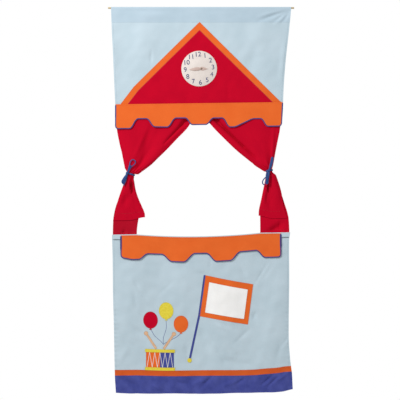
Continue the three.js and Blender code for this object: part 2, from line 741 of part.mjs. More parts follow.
// Left is side -1 and right is side 1; the tables run inwards from the outer top corner.
const corners = upperEdges(-upperDrop);
const sides = [
  {
    name: "left",
    sign: -1,
    corner: corners[0],
    outerShares: leftOuterShares,
    innerShares: leftInnerShares,
    foldShares: [leftUpperFoldShares, leftLowerFoldShares],
    stripWidth: leftStripWidth,
    tieDrop: leftTieDrop,
    tieWidth: leftTieWidth,
    tieInset: leftTieInset,
    tieTilt: leftTieTilt,
    loopShares: leftLoopShares,
    endShares: leftEndShares,
  },
  {
    name: "right",
    sign: 1,
    corner: corners[1],
    outerShares: rightOuterShares,
    innerShares: rightInnerShares,
    foldShares: [rightUpperFoldShares, rightLowerFoldShares],
    stripWidth: rightStripWidth,
    tieDrop: rightTieDrop,
    tieWidth: rightTieWidth,
    tieInset: rightTieInset,
    tieTilt: rightTieTilt,
    loopShares: rightLoopShares,
    endShares: rightEndShares,
  },
];

const curtainTop = -upperDrop - seamAllowance / 4;
const curtainPlaneTop = panelSetback - 3 * layerPitch + halfCloth;
const stripPlaneTop = panelSetback + layerPitch - halfCloth;
const tieSplit = panelSetback; // the plane between curtain and strip in the tie

function inwards(side, distance) {
  return side.corner - side.sign * distance;
}

function tieMiddleOf(side) {
  return inwards(side, side.tieInset);
}

function tieCentreY() {
  return tieSplit + tieDepth * (0.5 - tieSplitShare);
}

// A gathered cloth's plane, from its seam down into the tie.
function planeInto(top, held, down) {
  return lerp(top, held, smoothstep(down, 0.1, 0.5));
}

function buildCurtain(side) {
  const edgeAt = (shares) => (down) => inwards(side, curtainWidth * tableAt(shares, down));
  const geometry = gathered(side, {
    columns: 32,
    rows: 16,
    length: curtainLength,
    outerAt: edgeAt(side.outerShares),
    innerAt: edgeAt(side.innerShares),
    foldShares: side.foldShares,
    fillShare: curtainFillShare,
    depthAt: (down) => curtainFoldDepth * tableAt(curtainDepthShares, down),
    planeAt: (down) => planeInto(curtainPlaneTop, tieSplit - tieClearance / 2, down),
    facing: -1,
    hemRise: curtainHemRise,
  });
  piece(side.name + "_curtain", geometry, materials.red);
}

function buildStrip(side) {
  const length = sillDrop + curtainTop - seamGap;
  const tieAt = (curtainTop + side.tieDrop) / length;
  const outerFoot = side.sign * (lowerWidth / 2 - stripFootInset);
  const innerFoot = outerFoot - side.sign * side.stripWidth;
  const behind = (shares, inset, down) =>
    inwards(side, curtainWidth * tableAt(shares, (down * length) / curtainLength) + inset);
  const flareAt = (down) => smoothstep(down, tieAt + stripFlareShare, 1);
  const outerAt = (down) => lerp(behind(side.outerShares, stripEdgeInset, down), outerFoot, flareAt(down));
  const innerAt = (down) => {
    if (down < tieAt) return lerp(outerAt(0), outerFoot, down) - side.sign * side.stripWidth;
    return lerp(behind(side.innerShares, -stripEdgeInset, down), innerFoot, flareAt(down));
  };
  const footPlane = hemMiddleY - halfCloth;
  const geometry = gathered(side, {
    columns: 16,
    rows: 14,
    length,
    outerAt,
    innerAt,
    foldShares: [stripFoldShares, stripFoldShares],
    fillShare: stripFillShare,
    depthAt: (down) => stripFoldDepth * Math.sin(Math.PI * down) ** 0.6,
    planeAt: (down) => {
      const held = planeInto(stripPlaneTop, tieSplit + tieClearance / 2, down);
      return lerp(held, footPlane, smoothstep(down, 0.92, 1));
    },
    facing: 1,
    hemRise: 0,
  });
  piece(side.name + "_strip", geometry, materials.red);
}

// Tie: a flat band round the bundle, tilted down towards the window.
function buildTie(side) {
  const oval = (grow) => ellipse([0, 0], side.tieWidth + 2 * grow, tieDepth + 2 * grow, dialSteps);
  const shape = shapeOf(oval(tapeThickness));
  shape.holes.push(shapeOf(oval(0)));
  const geometry = new THREE.ExtrudeGeometry(shape, { depth: tapeWidth, bevelEnabled: false });
  const band = piece(side.name + "_tie", geometry.translate(0, 0, -tapeWidth / 2), materials.tape);
  const x = tieMiddleOf(side);
  band.position.set(x, tieCentreY(), -side.tieDrop + riseAt(x, -side.tieDrop));
  band.rotation.y = degToRad(-side.sign * side.tieTilt);
}

// Bow: loops and ends of one cord, from a knot that sits on the tape.
function teardrop(start, [turn, lengthShare, widthShare], from, to) {
  const angle = degToRad(turn);
  const points = Array.from({ length: 13 }, (_, i) => {
    const t = lerp(from, to, i / 12);
    const out = (1 - Math.cos(t)) / 2;
    const along = bowLoopLength * lengthShare * out;
    const across = ((bowLoopLength * widthShare) / 2) * Math.sin(t) * (out / loopFullestShare);
    return new THREE.Vector3(
      start.x + along * Math.cos(angle) - across * Math.sin(angle),
      start.y - bowStandoff * Math.min(1, out * 4),
      start.z + along * Math.sin(angle) + across * Math.cos(angle),
    );
  });
  return new THREE.CatmullRomCurve3(points);
}

function cordAlong(path, steps) {
  const section = shapeOf(ellipse([0, 0], bowCordDiameter, bowCordDiameter, cordSides));
  return solidOf(new THREE.ExtrudeGeometry(section, { steps, extrudePath: path, bevelEnabled: false }));
}

function buildBow(side) {
  const angle = degToRad(knotTurn);
  const middle = tieMiddleOf(side);
  const lap = tapeThickness + knotDiameter * knotLapShare;
  const x = middle + side.sign * (side.tieWidth / 2 + lap) * Math.cos(angle);
  const y = tieCentreY() - (tieDepth / 2 + lap) * Math.sin(angle);
  const tilted = -side.tieDrop + Math.abs(x - middle) * Math.tan(degToRad(side.tieTilt));
  const knot = new THREE.Vector3(x, y, tilted + riseAt(x, -side.tieDrop));
  const ball = new THREE.SphereGeometry(knotDiameter / 2, 10, 7).translate(knot.x, knot.y, knot.z);
  let bow = solidOf(ball);
  for (const loop of side.loopShares) {
    bow = bow.add(cordAlong(teardrop(knot, loop, 0, Math.PI + loopLap), 10));
    bow = bow.add(cordAlong(teardrop(knot, loop, 2 * Math.PI, Math.PI - loopLap), 10));
  }
  for (const end of side.endShares) {
    bow = bow.add(cordAlong(teardrop(knot, [...end, 0], 0, Math.PI), 6));
  }
  const grow = tapeThickness + seamGap;
  const kept = ellipse([0, 0], side.tieWidth + 2 * grow, tieDepth + 2 * grow);
  const core = new THREE.ExtrudeGeometry(shapeOf(kept), { depth: tieDepth, bevelEnabled: false });
  core.translate(0, 0, -tieDepth / 2).rotateY(degToRad(-side.sign * side.tieTilt));
  core.translate(middle, tieCentreY(), -side.tieDrop + riseAt(middle, -side.tieDrop));
  piece(side.name + "_bow", bow.subtract(solidOf(core)), materials.tape);
}

// Lower cloth: the panel, whose turned hem is the window's sill.
const lowerFoot = sillTop - lowerLength;

// The foot's edge from left to right, in a long uneven wave.
function footEdge() {
  const [left, right] = lowerEdges(lowerFoot);
  return Array.from({ length: footSteps + 1 }, (_, i) => {
    const share = i / footSteps;
    return [lerp(left, right, share), lowerFoot - footDip * tableAt(footDipShares, share)];
  });
}

function buildLowerPanel() {
  const fold = Array.from({ length: 7 }, (_, i) => {
    const angle = (Math.PI * i) / 6;
    return [hemMiddleY + hemRadius * Math.cos(angle), hemRadius * Math.sin(angle)];
  });
  const profile = [
    [hemMiddleY - hemRadius, hemRadius - hemDepth + hemThickness],
    [hemMiddleY + hemRadius - clothThickness, hemRadius - hemDepth],
    [hemMiddleY + hemRadius, hemRadius - hemDepth],
    ...fold,
  ];
  const hem = solidOf(bar(shapeOf(profile), -halfSpan, halfSpan, zoneColumns)).warp((vertex) => {
    vertex[2] += sillTop - hemRadius + riseAt(vertex[0], sillTop) - sagAt(vertex[0], sillTop);
  });
  const field = lowerCut(0, between(lowerEdges, sillTop - hemDepth / 2, lowerFoot, footEdge()));
  const trim = cutter(between(lowerEdges, sillTop + overrun, lowerFoot).map(lowerHang));
  piece("lower_panel", hem.intersect(trim).add(field), materials.paleBlue);
}

function buildLowerValance() {
  const sizes = {
    left: lowerValanceShift - lowerValanceWidth / 2,
    right: lowerValanceShift + lowerValanceWidth / 2,
    top: sillTop - lowerValanceInset,
    slant: 0,
    depth: lowerValanceDepth,
    lobeShares: lowerLobeShares,
  };
  buildValance("lower_valance", sizes, 3, lowerCut, lowerValanceLean);
}

function buildBands() {
  const orangeTop = sillTop - orangeBandDrop;
  const orangeFoot = orangeTop - orangeBandWidth;
  piece("orange_band", lowerCut(1, between(lowerEdges, orangeTop, orangeFoot)), materials.orange);
  const blue = between(lowerEdges, orangeFoot - seamGap, lowerFoot, footEdge());
  piece("blue_band", lowerCut(1, blue), materials.blue);
}

// Sign: a ribbon pole with a round knob, and a bordered white field beside it.
function buildSign() {
  const leans = signPoleLeans.map(degToRad);
  const droop = degToRad(signDroop);
  const start = [signPoleTop[0], sillTop - signPoleTop[1]];
  const step = ([x, z], lean, along, across) => [
    x - along * Math.sin(lean) + across * Math.cos(lean),
    z - along * Math.cos(lean) - across * Math.sin(lean),
  ];
  const bend = step(start, leans[0], signHeight, 0);
  const at = (along, across) =>
    along <= signHeight
      ? step(start, leans[0], along, across)
      : step(bend, leans[1], along - signHeight, across);
  const half = signPoleWidth / 2;
  const stops = [0, signHeight, signPoleLength];
  const [leftSide, rightSide] = [-half, half].map((across) => stops.map((along) => at(along, across)));
  piece("sign_pole", lowerCut(1, [...leftSide, ...rightSide.reverse()]), materials.blue);
  const knob = ellipse(at(signPoleLength, 0), signKnobDiameter, signKnobDiameter);
  piece("pole_knob", lowerCut(2, knob), materials.yellow);

  const across = ([x, z]) => [x + signWidth * Math.cos(droop), z - signWidth * Math.sin(droop)];
  const topLeft = at(seamGap, half + seamGap);
  const footLeft = at(signHeight, half + seamGap);
  const outline = [topLeft, footLeft, across(footLeft), across(topLeft)];
  piece("sign_cloth", lowerCut(1, outline), materials.orange);
  const borders = [signBorder, signBorder, signBorder, signTopBorder];
  piece("sign_field", lowerCut(2, inset(outline, (i) => borders[i])), materials.white);
}

// Picture: a two-coloured toy drum with its sticks, and three balloons above it.
function buildDrum() {
  const foot = sillTop - orangeBandDrop + seamGap;
  const top = foot + drumHeight;
  const box = (left, right, low, high) => [
    [left, high],
    [left, low],
    [right, low],
    [right, high],
  ];
  const [left, right] = [drumShift - drumWidth / 2, drumShift + drumWidth / 2];
  piece("drum_left", lowerCut(1, box(left, drumShift - seamGap / 2, foot, top)), materials.orange);
  piece("drum_right", lowerCut(1, box(drumShift + seamGap / 2, right, foot, top)), materials.blue);
  const rim = (name, low) => {
    const outline = box(left - drumRimOverhang, right + drumRimOverhang, low, low + drumRimWidth);
    piece(name, lowerCut(2, rounded(outline, () => drumRimWidth / 3)), materials.yellow);
  };
  rim("drum_top_rim", top - drumRimWidth);
  rim("drum_foot_rim", foot);

  for (const [name, sign] of [["left_drumstick", -1], ["right_drumstick", 1]]) {
    const lean = degToRad(sign * stickLean);
    const at = (along, across) => [
      drumShift + sign * stickWidth * 2 + along * Math.sin(lean) + across * Math.cos(lean),
      top + seamGap + stickWidth / 2 + along * Math.cos(lean) - across * Math.sin(lean),
    ];
    const half = stickWidth / 2;
    const shaft = [at(stickLength, -half), at(0, -half), at(0, half), at(stickLength, half)];
    const head = ellipse(at(stickLength, 0), stickWidth * 2, stickWidth * 2);
    piece(name, lowerCut(1, shaft).add(lowerCut(1, head)), materials.beige);
  }
}

function buildBalloons() {
  const balloons = [
    ["red_balloon", redBalloonPlace, materials.red],
    ["yellow_balloon", yellowBalloonPlace, materials.yellow],
    ["orange_balloon", orangeBalloonPlace, materials.orange],
  ];
  for (const [name, [x, below], material] of balloons) {
    const z = sillTop - below;
    const neck = z - balloonHeight / 2;
    const half = balloonKnotWidth / 2;
    const knot = [[x, neck + half], [x - half, neck - half], [x + half, neck - half]];
    const skin = lowerCut(1, ellipse([x, z], balloonWidth, balloonHeight));
    piece(name, skin.add(lowerCut(1, knot)), material);
  }
}

buildRod();
buildUpperPanel();
buildRoof();
buildClock();
buildUpperValance();
sides.forEach(buildCurtain);
sides.forEach(buildStrip);
sides.forEach(buildTie);
sides.forEach(buildBow);
buildLowerPanel();
buildLowerValance();
buildBands();
buildSign();
buildDrum();
buildBalloons();

export default theatre;
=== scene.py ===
import math

import bmesh
import bpy
import numpy as np
from mathutils import Matrix, Vector


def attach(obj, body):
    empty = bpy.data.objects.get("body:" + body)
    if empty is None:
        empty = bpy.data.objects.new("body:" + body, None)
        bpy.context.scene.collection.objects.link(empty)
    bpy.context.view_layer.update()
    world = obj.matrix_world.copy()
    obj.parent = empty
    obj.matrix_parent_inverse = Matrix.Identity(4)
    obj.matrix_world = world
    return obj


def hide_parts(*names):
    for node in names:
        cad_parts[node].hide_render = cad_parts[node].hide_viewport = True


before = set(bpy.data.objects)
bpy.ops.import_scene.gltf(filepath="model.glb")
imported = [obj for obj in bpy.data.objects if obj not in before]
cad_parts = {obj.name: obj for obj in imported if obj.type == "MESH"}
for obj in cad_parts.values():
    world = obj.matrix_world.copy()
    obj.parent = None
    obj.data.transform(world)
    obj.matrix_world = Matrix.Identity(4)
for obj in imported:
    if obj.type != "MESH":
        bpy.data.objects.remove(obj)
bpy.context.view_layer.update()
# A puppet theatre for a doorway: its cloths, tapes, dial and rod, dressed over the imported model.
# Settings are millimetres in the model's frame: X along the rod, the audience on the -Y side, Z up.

mm = 0.001
mergeDistance = 1e-6  # metres
print("model loaded")


def smooth(value, low, high):
    share = np.clip((value - low) / (high - low), 0, 1)
    return share * share * (3 - 2 * share)


def mix(first, second, share):
    return first + (second - first) * share


def readTable(table, place):  # a smooth curve through rows of place and value
    rows = np.array(table, float)
    place = np.asarray(place, float)
    last = len(rows) - 1
    count = np.arange(last + 1)
    before, after = np.maximum(count - 1, 0), np.minimum(count + 1, last)
    slope = (rows[after, 1] - rows[before, 1]) / (rows[after, 0] - rows[before, 0])
    found = np.clip(np.searchsorted(rows[:, 0], place, side="right") - 1, 0, last - 1)
    run = rows[found + 1, 0] - rows[found, 0]
    rise = rows[found + 1, 1] - rows[found, 1]
    t = np.clip((place - rows[found, 0]) / run, 0, 1)
    bend = (1 - t) * (slope[found] * run - rise) - t * (slope[found + 1] * run - rise)
    return rows[found, 1] + t * rise + t * (1 - t) * bend


# Camera: square on to the cloth, from the far end of a studio
camera = {"distance": 6000, "middle": (-5.1, -896), "frameWidth": 1866.8, "sensor": 36, "farthest": 100}
cameraData = bpy.data.cameras.new("camera")
cameraData.sensor_width = camera["sensor"]
cameraData.lens = camera["sensor"] * camera["distance"] / camera["frameWidth"]
cameraData.clip_end = camera["farthest"]  # metres
cameraObject = bpy.data.objects.new("camera", cameraData)
cameraObject.location = (camera["middle"][0] * mm, -camera["distance"] * mm, camera["middle"][1] * mm)
cameraObject.rotation_euler = (math.pi / 2, 0, 0)
bpy.context.scene.collection.objects.link(cameraObject)
bpy.context.scene.camera = cameraObject


# Materials: their sizes are millimetres on the real cloth, thread or grain
patchRange = (0.36, 0.64)  # noise seldom leaves this range, so both colours show
waveBand = 0.31416  # metres between the bands of a wave texture at scale 1
sockets = {
    "roughness": "Roughness", "sheen": "Sheen Weight", "sheenRoughness": "Sheen Roughness",
    "specular": "Specular IOR Level", "metallic": "Metallic",
}


def linear(code):  # sRGB hex to linear colour
    parts = [int(code[i:i + 2], 16) / 255 for i in (1, 3, 5)]
    return [p / 12.92 if p <= 0.04045 else ((p + 0.055) / 1.055) ** 2.4 for p in parts] + [1]


def addNode(tree, kind, inputs=None, **settings):
    node = tree.nodes.new(kind)
    for name, value in settings.items():
        setattr(node, name, value)
    for socket, value in (inputs or {}).items():
        if isinstance(value, bpy.types.NodeSocket):
            tree.links.new(value, node.inputs[socket])
        else:
            node.inputs[socket].default_value = value
    return node


def startMaterial(name):
    material = bpy.data.materials.new(name)
    material.use_nodes = True
    tree = material.node_tree
    return material, tree, tree.nodes["Principled BSDF"]


def blotches(tree, where, settings):  # two near colours in soft patches
    noise = addNode(tree, "ShaderNodeTexNoise", {
        "Vector": where, "Scale": 1 / (settings["patch"] * mm), "Detail": settings.get("detail", 3),
    })
    ramp = addNode(tree, "ShaderNodeValToRGB", {"Fac": noise.outputs["Fac"]})
    for end, place, shade in zip(ramp.color_ramp.elements, patchRange, ("dark", "light")):
        end.position = place
        end.color = linear(settings[shade])
    return ramp.outputs["Color"]


def finishSurface(tree, shader, settings, colour, height=None):
    tree.links.new(colour, shader.inputs["Base Color"])
    if height is not None:
        bump = addNode(tree, "ShaderNodeBump", {
            "Height": height, "Strength": settings["relief"], "Distance": settings["depth"] * mm,
        })
        tree.links.new(bump.outputs["Normal"], shader.inputs["Normal"])
    for setting, socket in sockets.items():
        if setting in settings:
            shader.inputs[socket].default_value = settings[setting]


def wovenCloth(name, settings):
    material, tree, shader = startMaterial(name)
    where = addNode(tree, "ShaderNodeTexCoord").outputs["UV"]
    colour = blotches(tree, where, settings)
    if "shadedBetween" in settings:  # painted shade: between these heights the colour darkens, where two more layers begin behind and would dim the daylight
        place = addNode(tree, "ShaderNodeTexCoord").outputs["Object"]
        height = addNode(tree, "ShaderNodeSeparateXYZ", {0: place}).outputs["Z"]
        low, high = settings["shadedBetween"]
        share = addNode(tree, "ShaderNodeMapRange", {
            "Value": height, "From Min": low * mm, "From Max": high * mm,
        }).outputs[0]
        colour = addNode(tree, "ShaderNodeMix", {0: share, 6: colour, 7: linear(settings["shaded"])},
                         data_type="RGBA", blend_type="MULTIPLY").outputs[2]
    scale = waveBand / (settings["thread"] * mm)  # one band a thread
    warp, weft = (addNode(tree, "ShaderNodeTexWave", {"Vector": where, "Scale": scale}, bands_direction=way)
                  for way in ("X", "Y"))
    weave = addNode(tree, "ShaderNodeMath", {0: warp.outputs["Fac"], 1: weft.outputs["Fac"]},
                    operation="MULTIPLY").outputs[0]
    slubs = addNode(tree, "ShaderNodeMapping", {"Vector": where, "Scale": (1, settings["slubStretch"], 1)})
    uneven = addNode(tree, "ShaderNodeTexNoise", {
        "Vector": slubs.outputs["Vector"], "Scale": 1 / (settings["slub"] * mm), "Detail": 2,
    }).outputs["Fac"]
    height = addNode(tree, "ShaderNodeMath", {0: uneven, 1: settings["slubHeight"], 2: weave},
                     operation="MULTIPLY_ADD").outputs[0]
    finishSurface(tree, shader, settings, colour, height)
    return material


cotton = {
    "patch": 70, "thread": 1.1, "slub": 4, "slubStretch": 0.15, "slubHeight": 0.4, "relief": 0.3,
    "depth": 0.33, "roughness": 0.82, "sheen": 0.01, "sheenRoughness": 0.45, "specular": 0.06,
}  # 0.35 mm threads in the real cloth, drawn three times coarser so that they show
# polyester taffeta: smooth filament threads, so a soft shine along the folds and faint bars of weft
taffeta = {
    **cotton, "dark": "#b9ccd6", "light": "#bfd1db", "patch": 110, "thread": 0.9, "relief": 0.15,
    "depth": 0.27, "roughness": 0.5, "sheen": 0, "specular": 0.32, "slub": 9, "slubStretch": 0.03,
}
paleTaffeta = wovenCloth("polyesterTaffeta", taffeta)
# painted shade: the tunnel's taffeta is darkened above its seam
shadedTunnelTaffeta = wovenCloth("polyesterTaffetaWithPaintedTunnelShade", {
    **taffeta, "shadedBetween": (-68, -66), "shaded": "#f6f9fd",
})
# dyed plain-weave cotton: matt, with a little fuzz that lightens the edges of folds
orangeCotton = wovenCloth("orangeCotton", {**cotton, "dark": "#e7682b", "light": "#ea6c2e"})
# the band's orange cotton is darker than the valances'
bandCotton = wovenCloth("orangeCottonOfBand", {**cotton, "dark": "#d35a29", "light": "#d6602c"})
redCotton = wovenCloth("redCotton", {**cotton, "dark": "#c00226", "light": "#c60327"})
# painted shade: the left strip's red is the curtain cotton darkened, for the shade it hangs in behind the
# curtain
shadedStripCotton = wovenCloth("redCottonWithPaintedShade", {**cotton, "dark": "#ae0a24", "light": "#b50c27"})
blueCotton = wovenCloth("blueCotton", {
    **cotton, "dark": "#414990", "light": "#4d559d", "roughness": 0.6, "patch": 45,
})
whiteCotton = wovenCloth("whiteCotton", {**cotton, "dark": "#f6f5f3", "light": "#fcfbfa"})
# bias binding: the same plain weave cut on the slant and folded round the edge, so slightly ribbed
bindingCotton = wovenCloth("biasBinding", {**cotton, "dark": "#423f78", "light": "#514c88", "slub": 2.5})
# woven cotton tape: thick warp threads that give fine ribs along it
wovenTape = wovenCloth("wovenCottonTape", {
    **cotton, "dark": "#31497d", "light": "#3f5a94", "thread": 1.3, "relief": 0.6, "depth": 0.39,
    "slubStretch": 1,
})

# twisted polyester thread: fine slanting highlights
polyester = {"twist": 0.7, "uneven": 0.6, "relief": 0.5, "depth": 0.2, "roughness": 0.55, "sheen": 0.1}


def sewingThread(name, dark, light):
    material, tree, shader = startMaterial(name)
    where = addNode(tree, "ShaderNodeTexCoord").outputs["UV"]
    twist = addNode(tree, "ShaderNodeTexWave", {
        "Vector": where, "Scale": waveBand / (polyester["twist"] * mm), "Distortion": polyester["uneven"],
    }, bands_direction="Y").outputs["Fac"]
    ramp = addNode(tree, "ShaderNodeValToRGB", {"Fac": twist})
    for end, shade in zip(ramp.color_ramp.elements, (dark, light)):
        end.color = linear(shade)
    finishSurface(tree, shader, polyester, ramp.outputs["Color"], twist)
    return material


paleThread = sewingThread("paleBlueThread", "#a3b8c4", "#b9ccd6")
orangeThread = sewingThread("orangeThread", "#cf5522", "#e7692d")
redThread = sewingThread("redThread", "#9d0420", "#bd0827")
blueThread = sewingThread("blueThread", "#363f7c", "#4c5596")
yellowThread = sewingThread("yellowThread", "#cdb92f", "#e6d648")
whiteThread = sewingThread("whiteThread", "#dddcd8", "#f0efec")
beigeThread = sewingThread("beigeThread", "#c0936f", "#d8ae8a")
# painted shadow: a dark grey thread colour for the line under the sill hem
hemShadowThread = sewingThread("greyThreadForPaintedHemShadow", "#5d686d", "#78848a")


def unwovenSurface(name, settings):  # patches of two colours, and a fine relief where there is a grain
    material, tree, shader = startMaterial(name)
    where = addNode(tree, "ShaderNodeTexCoord").outputs[settings["follows"]]
    if "stretch" in settings:
        stretched = addNode(tree, "ShaderNodeMapping", {"Vector": where, "Scale": settings["stretch"]})
        where = stretched.outputs["Vector"]
    height = None
    if "grain" in settings:
        height = addNode(tree, "ShaderNodeTexNoise", {
            "Vector": where, "Scale": 1 / (settings["grain"] * mm), "Detail": settings["grainDetail"],
        }).outputs["Fac"]
    finishSurface(tree, shader, settings, blotches(tree, where, settings), height)
    return material


# pressed felt: matted fibres, so no weave but soft fuzz and small pills
felt = {
    "follows": "UV", "patch": 9, "detail": 5, "grain": 1.6, "grainDetail": 4, "relief": 0.6, "depth": 0.5,
    "roughness": 0.95, "sheen": 0.3, "specular": 0.15,
}
yellowFelt = unwovenSurface("yellowFelt", {**felt, "dark": "#dcc93a", "light": "#e8d84a"})
beigeFelt = unwovenSurface("beigeFelt", {**felt, "dark": "#d9ac87", "light": "#e4bc98"})
# calendered vinyl film: an even satin face, faintly clouded
vinyl = {"follows": "UV", "patch": 30, "grain": 2.5, "grainDetail": 2, "relief": 0.08, "depth": 0.2}
dialVinyl = unwovenSurface("dialVinyl", {**vinyl, "dark": "#dcd2cb", "light": "#e4dad3", "roughness": 0.42})
handVinyl = unwovenSurface("handVinyl", {**vinyl, "dark": "#c0a69b", "light": "#c9b2a8", "roughness": 0.38})
# screen print: flat dark blue with thin spots in the film
ink = unwovenSurface("screenPrintInk", {
    "follows": "Object", "patch": 1.5, "dark": "#2f3560", "light": "#3f4670", "roughness": 0.6,
})
# turned and sanded beech dowel: pale, with long grain and short dark rays
beech = unwovenSurface("sandedBeech", {
    "follows": "Object", "stretch": (0.05, 1, 1), "patch": 1.6, "detail": 6, "dark": "#a8905f",
    "light": "#cdb98f", "grain": 0.8, "grainDetail": 2, "relief": 0.3, "depth": 0.2, "roughness": 0.6,
})
# bronzed steel rivet: dark, with rubbed brighter spots
steel = unwovenSurface("bronzedSteel", {
    "follows": "Object", "patch": 2, "dark": "#6a5d50", "light": "#8b7a68", "metallic": 0.8, "roughness": 0.4,
})
# sewn-on cloths, each with its slot and the thread of its edges
orange = (orangeCotton, "orange_cloth", orangeThread)
red = (redCotton, "red_cloth", redThread)
blue = (blueCotton, "blue_cloth", blueThread)
white = (whiteCotton, "white_cloth", whiteThread)
yellow = (yellowFelt, "yellow_felt", yellowThread)
beige = (beigeFelt, "beige_felt", beigeThread)
print("materials ready")


# Pieces
def keep(name, mesh, material, body, nodes=(), thickness=0):
    piece = bpy.data.objects.new(name, mesh)
    bpy.context.scene.collection.objects.link(piece)
    mesh.materials.append(material)
    for face in mesh.polygons:
        face.use_smooth = True
    if thickness:
        wall = piece.modifiers.new("cloth", "SOLIDIFY")
        wall.thickness = thickness * mm
        wall.offset = 0
    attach(piece, body)
    if nodes:
        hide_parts(*nodes)
    return piece


def toMesh(name, bm):
    for edge in bm.edges:
        edge.smooth = not edge.is_boundary
    mesh = bpy.data.meshes.new(name)
    bm.to_mesh(mesh)
    bm.free()
    return mesh


def moveAll(bm, places):
    for vert, place in zip(bm.verts, places):
        vert.co = Vector(place) * mm


def layPattern(bm, flatPlace):  # gives each corner its place on the flat cloth
    pattern = bm.loops.layers.uv.new("pattern")
    for face in bm.faces:
        for loop in face.loops:
            loop[pattern].uv = flatPlace(loop.vert.co)


# A grid of cloth whose points are laid by laidAt(u, v), u across and v down, both 0 to 1
def gridMesh(name, columns, rows, laidAt, flat, weld=False):
    bm = bmesh.new()
    bmesh.ops.create_grid(bm, x_segments=columns, y_segments=rows, size=0.5)
    layPattern(bm, lambda co: ((co.x + 0.5) * flat[0] * mm, (co.y + 0.5) * flat[1] * mm))
    u = np.array([vert.co.x for vert in bm.verts]) + 0.5
    v = 0.5 - np.array([vert.co.y for vert in bm.verts])
    moveAll(bm, np.stack(laidAt(u, v), axis=1))
    if weld:
        bmesh.ops.remove_doubles(bm, verts=bm.verts, dist=mergeDistance)
    return toMesh(name, bm)


# A patch cut to convex outlines of the flat pattern, anticlockwise, then hung by surface(x, z)
def patchMesh(name, outlines, step, surface):
    whole = bmesh.new()
    for outline in outlines:
        low = np.min(outline, axis=0)
        size = np.max(outline, axis=0) - low
        bm = bmesh.new()
        counts = [max(1, math.ceil(side / step)) for side in size]
        bmesh.ops.create_grid(bm, x_segments=counts[0], y_segments=counts[1], size=0.5)
        bmesh.ops.scale(bm, vec=(size[0], size[1], 1), verts=bm.verts)
        bmesh.ops.translate(bm, vec=(*(low + size / 2), 0), verts=bm.verts)
        for start, end in zip(outline, [*outline[1:], outline[0]]):
            out = (end[1] - start[1], start[0] - end[0], 0)
            parts = [*bm.verts, *bm.edges, *bm.faces]
            bmesh.ops.bisect_plane(bm, geom=parts, plane_co=(*start, 0), plane_no=out, clear_outer=True)
        mesh = bpy.data.meshes.new("cut")
        bm.to_mesh(mesh)
        bm.free()
        whole.from_mesh(mesh)
        bpy.data.meshes.remove(mesh)
    layPattern(whole, lambda co: (co.x * mm, co.y * mm))
    flatPlaces = np.array([vert.co for vert in whole.verts])
    moveAll(whole, np.stack(surface(flatPlaces[:, 0], flatPlaces[:, 1]), axis=1))
    return toMesh(name, whole)


def joined(name, meshes):
    whole = bmesh.new()
    for mesh in meshes:
        whole.from_mesh(mesh)
        bpy.data.meshes.remove(mesh)
    mesh = bpy.data.meshes.new(name)
    whole.to_mesh(mesh)
    whole.free()
    return mesh


# A band swept along a path of points, wide along the cloth and thin towards facing
def sweptMesh(name, path, wide, thin, facing=(0, -1, 0), sides=10, closed=False, tipShare=0.02):
    path = np.array(path, float)
    count = len(path)
    facings = np.broadcast_to(np.array(facing, float), path.shape)
    if closed:
        ahead, behind = np.roll(path, -1, axis=0), np.roll(path, 1, axis=0)
    else:
        ahead, behind = np.vstack([path[1:], path[-1:]]), np.vstack([path[:1], path[:-1]])
    along = ahead - behind
    along /= np.linalg.norm(along, axis=1, keepdims=True)
    out = facings - (facings * along).sum(axis=1, keepdims=True) * along
    out /= np.linalg.norm(out, axis=1, keepdims=True)
    across = np.cross(along, out)
    steps = np.linalg.norm(np.diff(path, axis=0), axis=1)
    widths = np.broadcast_to(np.asarray(wide, float), (count,))

    def laidAt(u, v):
        row = np.round(v * (count if closed else count - 1)).astype(int)
        at = row % count
        angle = -2 * np.pi * u
        tip = 1.0 if closed else np.where((row == 0) | (row == count - 1), tipShare, 1.0)
        ring = (
            across[at] * (np.cos(angle) * widths[at] / 2 * tip)[:, None]
            + out[at] * (np.sin(angle) * thin / 2 * tip)[:, None]
        )
        return (path[at] + ring).T

    flat = (2 * float(np.mean(widths)), float(steps.sum()))
    return gridMesh(name, sides, count if closed else count - 1, laidAt, flat, weld=True)


def distancesAlong(path):
    return np.concatenate([[0], np.cumsum(np.linalg.norm(np.diff(path, axis=0), axis=1))])


stitch = {"pitch": 4, "length": 2.9, "thick": 0.55}


def stitchMesh(path):  # a row of stitches along points on a cloth's face
    path = np.array(path, float)
    steps = distancesAlong(path)
    starts = np.linspace(0, steps[-1], max(2, int(steps[-1] / stitch["pitch"])))
    ends = [np.stack([np.interp(starts + shift, steps, path[:, k]) for k in range(3)], axis=1)
            for shift in (0, stitch["length"])]
    bm = bmesh.new()
    for start, end in zip(*ends):
        run = Vector(end - start)
        if run.length < stitch["length"] / 2:
            continue
        turn = run.to_track_quat("Y", "Z").to_matrix().to_4x4()
        size = Matrix.Diagonal((stitch["thick"] * mm, run.length * mm, stitch["thick"] * mm, 1))
        place = Matrix.Translation(Vector((start + end) / 2) * mm) @ turn @ size
        bmesh.ops.create_cube(bm, size=1, matrix=place)
    layPattern(bm, lambda co: (co.x, co.z))
    return toMesh("seam", bm)


def pathAlong(corners, step):  # even points along straight sides
    points = []
    for start, end in zip(corners[:-1], corners[1:]):
        start, end = np.array(start, float), np.array(end, float)
        count = max(1, round(float(np.linalg.norm(end - start)) / step))
        points += [mix(start, end, k / count) for k in range(count)]
    return np.array([*points, np.array(corners[-1], float)])


def onSurface(surface, corners, step):
    points = pathAlong(corners, step)
    return np.stack(surface(points[:, 0], points[:, 1]), axis=1)


def ellipse(middle, width, height, steps=36):
    turns = [2 * math.pi * k / steps for k in range(steps)]
    return [(middle[0] + width / 2 * math.cos(a), middle[1] + height / 2 * math.sin(a)) for a in turns]


